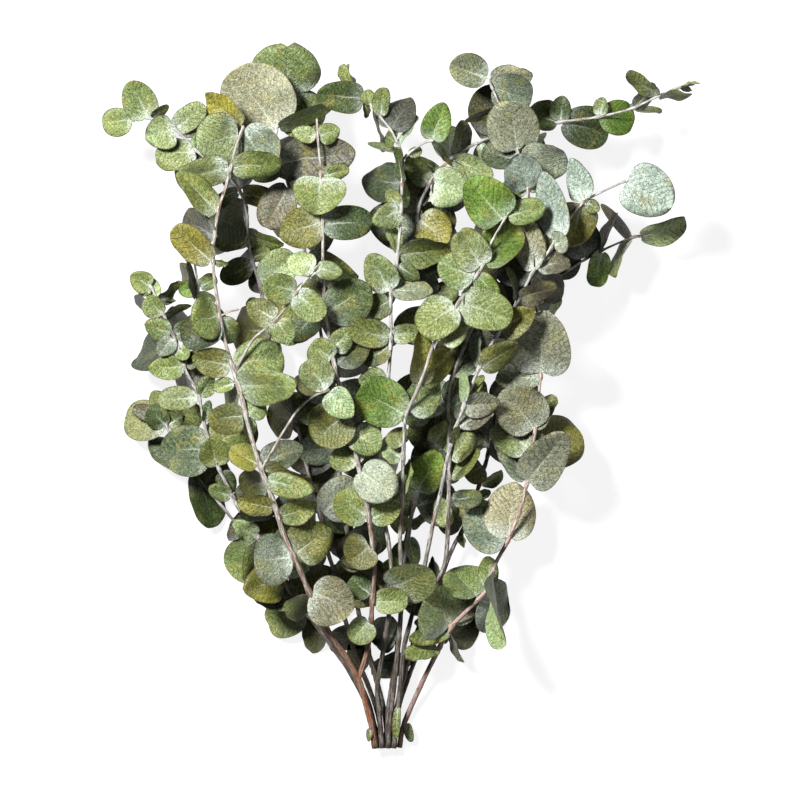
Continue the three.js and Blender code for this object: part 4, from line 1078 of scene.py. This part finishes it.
def stems_over(middle, routes):
    """How many stems pass over a place or close by it."""
    count = 0
    for route in routes:
        apart = np.hypot(route[:, 0] - middle[0], route[:, 1] - middle[1])
        nearest = apart.argmin()
        count += bool(apart[nearest] < STEM_REACH and route[nearest][2] > middle[2])
    return count


def in_the_open(grid):
    """Whether a leaf would cover one of the gaps through which the floor shows."""
    for column, row, radius in OPEN_GAPS:
        apart = np.hypot(grid[..., 0] - across(column), grid[..., 1] - upward(row))
        if apart.min() < radius * MM_PER_PIXEL:
            return True
    return False


def over_others(grid, low, high, others):
    """Share of a blade that lies over other blades, seen from above."""
    points = [Vector(point) for point in grid[PETIOLE_ROWS + 2::4, 1::3].reshape(-1, 3)]
    near = [tree for other_low, other_high, tree in others if np.all(low[:2] < other_high[:2])
            and np.all(high[:2] > other_low[:2]) and other_low[2] < high[2]]
    over = [any(tree.ray_cast(point, Vector((0, 0, -1)))[0] for tree in near) for point in points]
    return sum(over) / len(over)


def blade_colour(letter, looks):
    warm = np.array([1 + looks.warm, 1, 1 - 1.5 * looks.warm])
    return linear(LEAF_COLOURS[letter]) * looks.light * warm


def settled(leaf, lean, looks, placed, bark):
    """The fine blade of a leaf at a lean, pressed on the surface and clear of all else, or None."""
    tried = turned(leaf, lean, 0, 1)
    corners, coordinates, grid = fine_blade(tried, looks, EXTRA_EASE)
    if grid[..., 2].min() < -PRESS_DEPTH:
        return None
    corners, grid = pressed(corners), pressed(grid)
    if in_the_open(grid):
        return None
    low, high = grid.min((0, 1)), grid.max((0, 1))
    tree = outer_surface(tried, grid)
    if not clear_of(tree, low, high, placed) or any(tree.overlap(stem) for stem in bark):
        return None
    return SimpleNamespace(leaf=tried, looks=looks, corners=corners, coordinates=coordinates, grid=grid,
                           low=low, high=high, tree=tree)


def add_solid_leaves(shoots, nodes, blades, placed, looks_draw):
    """The fine blade of each leaf in the solids, eased until it is clear of the others."""
    vertices = {}
    for name, solid in nodes.items():
        tree = KDTree(len(solid.data.vertices))
        for i, vertex in enumerate(solid.data.vertices):
            tree.insert(vertex.co / METRE, i)
        tree.balance()
        vertices[name] = tree
    draw = Draws(GROWTH_SEED)
    roots = {name: [] for name in nodes}
    for shoot, leaf, letter, along in chain(table_leaves(shoots, draw, roots), hidden_leaves(shoots, draw)):
        looks = blade_looks(looks_draw)
        looks.bloom *= BARE_BLOOM if letter in BARE_COLOURS else 1
        leaf = as_grown(leaf, vertices[shoot.node])
        if leaf is None:
            continue
        roots[shoot.node].append(leaf.base)
        shoot.joints.append(round(float(along), 1))
        for ease in EASES:
            corners, coordinates, grid = fine_blade(leaf, looks, ease)
            tree = outer_surface(leaf, grid)
            low, high = grid.min((0, 1)), grid.max((0, 1))
            if clear_of(tree, low, high, placed):
                break
        placed.append((low, high, tree))
        blades[shoot.node].append(SimpleNamespace(
            leaf=leaf, looks=looks, corners=corners, coordinates=coordinates,
            colour=blade_colour(letter, looks), shade=1.0))


def add_extra_leaves(shoots, blades, placed, bark, looks_draw):
    middles = np.array([(low + high)[:2] / 2 for low, high, _ in placed])
    routes = [stem_route(shoot)[0] for shoot in shoots]
    for shoot, leaf, letter, along in extra_leaves(shoots, Draws(EXTRA_SEED)):
        looks = blade_looks(looks_draw)
        for lean in EXTRA_LEANS:
            blade = settled(leaf, lean, looks, placed, bark)
            if blade is None or over_others(blade.grid, blade.low, blade.high, placed) > COVER_LIMIT:
                continue
            middle = (blade.low + blade.high) / 2
            near = np.hypot(*(middles - middle[:2]).T) < NEIGHBOUR_REACH
            if near.sum() < NEIGHBOURS and stems_over(middle, routes) < STEMS_OVER:
                continue
            placed.append((blade.low, blade.high, blade.tree))
            shoot.joints.append(round(float(along), 1))
            blade.colour = blade_colour(letter, looks)
            # Painted shade: a deep leaf's colour is darkened for the shade that falls on it between the
            # leaves over it
            blade.shade = looks_draw(*EXTRA_PAINTED_SHADE)
            blades[shoot.node].append(blade)
            break


def add_scraps(shoots, blades, placed, bark, looks_draw):
    for node, base_x, base_y, tip_x, tip_y, wide, letter in SCRAPS:
        shoot = next(one for one in shoots if one.node == node)
        foot, radius, _ = nearest_on_axis(shoot, across(base_x), upward(base_y))
        run = np.array([across(tip_x), upward(tip_y)]) - foot[:2]
        length = float(np.hypot(*run))
        leaf = SimpleNamespace(base=foot, radius=radius, direction=tuple(run / length), length=length,
                               width=wide * MM_PER_PIXEL, lean=0.0, roll=0.2, cup=0.3, curl=0.1)
        looks = blade_looks(looks_draw)
        tries = (settled(leaf, lean, looks, placed, bark) for lean in SCRAP_LEANS)
        blade = next((one for one in tries if one is not None), None)
        if blade is not None:
            placed.append((blade.low, blade.high, blade.tree))
            blade.colour = blade_colour(letter, looks)
            blade.shade = 1.0
            blades[node].append(blade)


def grow_blades(shoots, nodes):
    """Every fine blade, by node: those of the solids, those deep in the bunch and the remains of leaves."""
    blades = {name: [] for name in nodes}
    placed = []
    looks_draw = Draws(LOOKS_SEED)
    add_solid_leaves(shoots, nodes, blades, placed, looks_draw)
    stems = [stem_mesh(shoot, 0, Draws(BARK_TEST_SEED)) for shoot in shoots]
    bark = [BVHTree.FromPolygons(points.tolist(), faces) for points, faces, _, _ in stems]
    add_extra_leaves(shoots, blades, placed, bark, looks_draw)
    add_scraps(shoots, blades, placed, bark, looks_draw)
    return blades


def foot_distance(shoot, shoots):
    """How far from the cut end a shoot's foot is, along the first shoot of its node."""
    main = next(one for one in shoots if one.node == shoot.node)
    if main is shoot:
        return 0.0
    return nearest_on_axis(main, shoot.axis[0][0], shoot.axis[0][1])[2]


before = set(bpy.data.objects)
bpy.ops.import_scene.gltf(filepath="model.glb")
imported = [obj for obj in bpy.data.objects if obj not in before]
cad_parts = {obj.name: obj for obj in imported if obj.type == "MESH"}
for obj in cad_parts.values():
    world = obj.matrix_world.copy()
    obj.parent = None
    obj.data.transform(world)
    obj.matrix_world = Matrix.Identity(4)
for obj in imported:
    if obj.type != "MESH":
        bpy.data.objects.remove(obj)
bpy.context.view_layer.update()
make_camera()
make_stage()
shoots = [make_shoot(row) for row in SHOOTS]
blades = grow_blades(shoots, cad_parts)
leaf_finish = leaf_material()
bark_finish = bark_material()
bark_draw = Draws(BARK_SEED)
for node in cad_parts:
    own = [shoot for shoot in shoots if shoot.node == node]
    stems = [stem_mesh(shoot, foot_distance(shoot, shoots), bark_draw) for shoot in own]
    for piece in (leaves_piece(node, blades[node], leaf_finish), wood_piece(node, stems, bark_finish)):
        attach(piece, "root")
        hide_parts(node)
bpy.context.scene.view_settings.view_transform = "Standard"
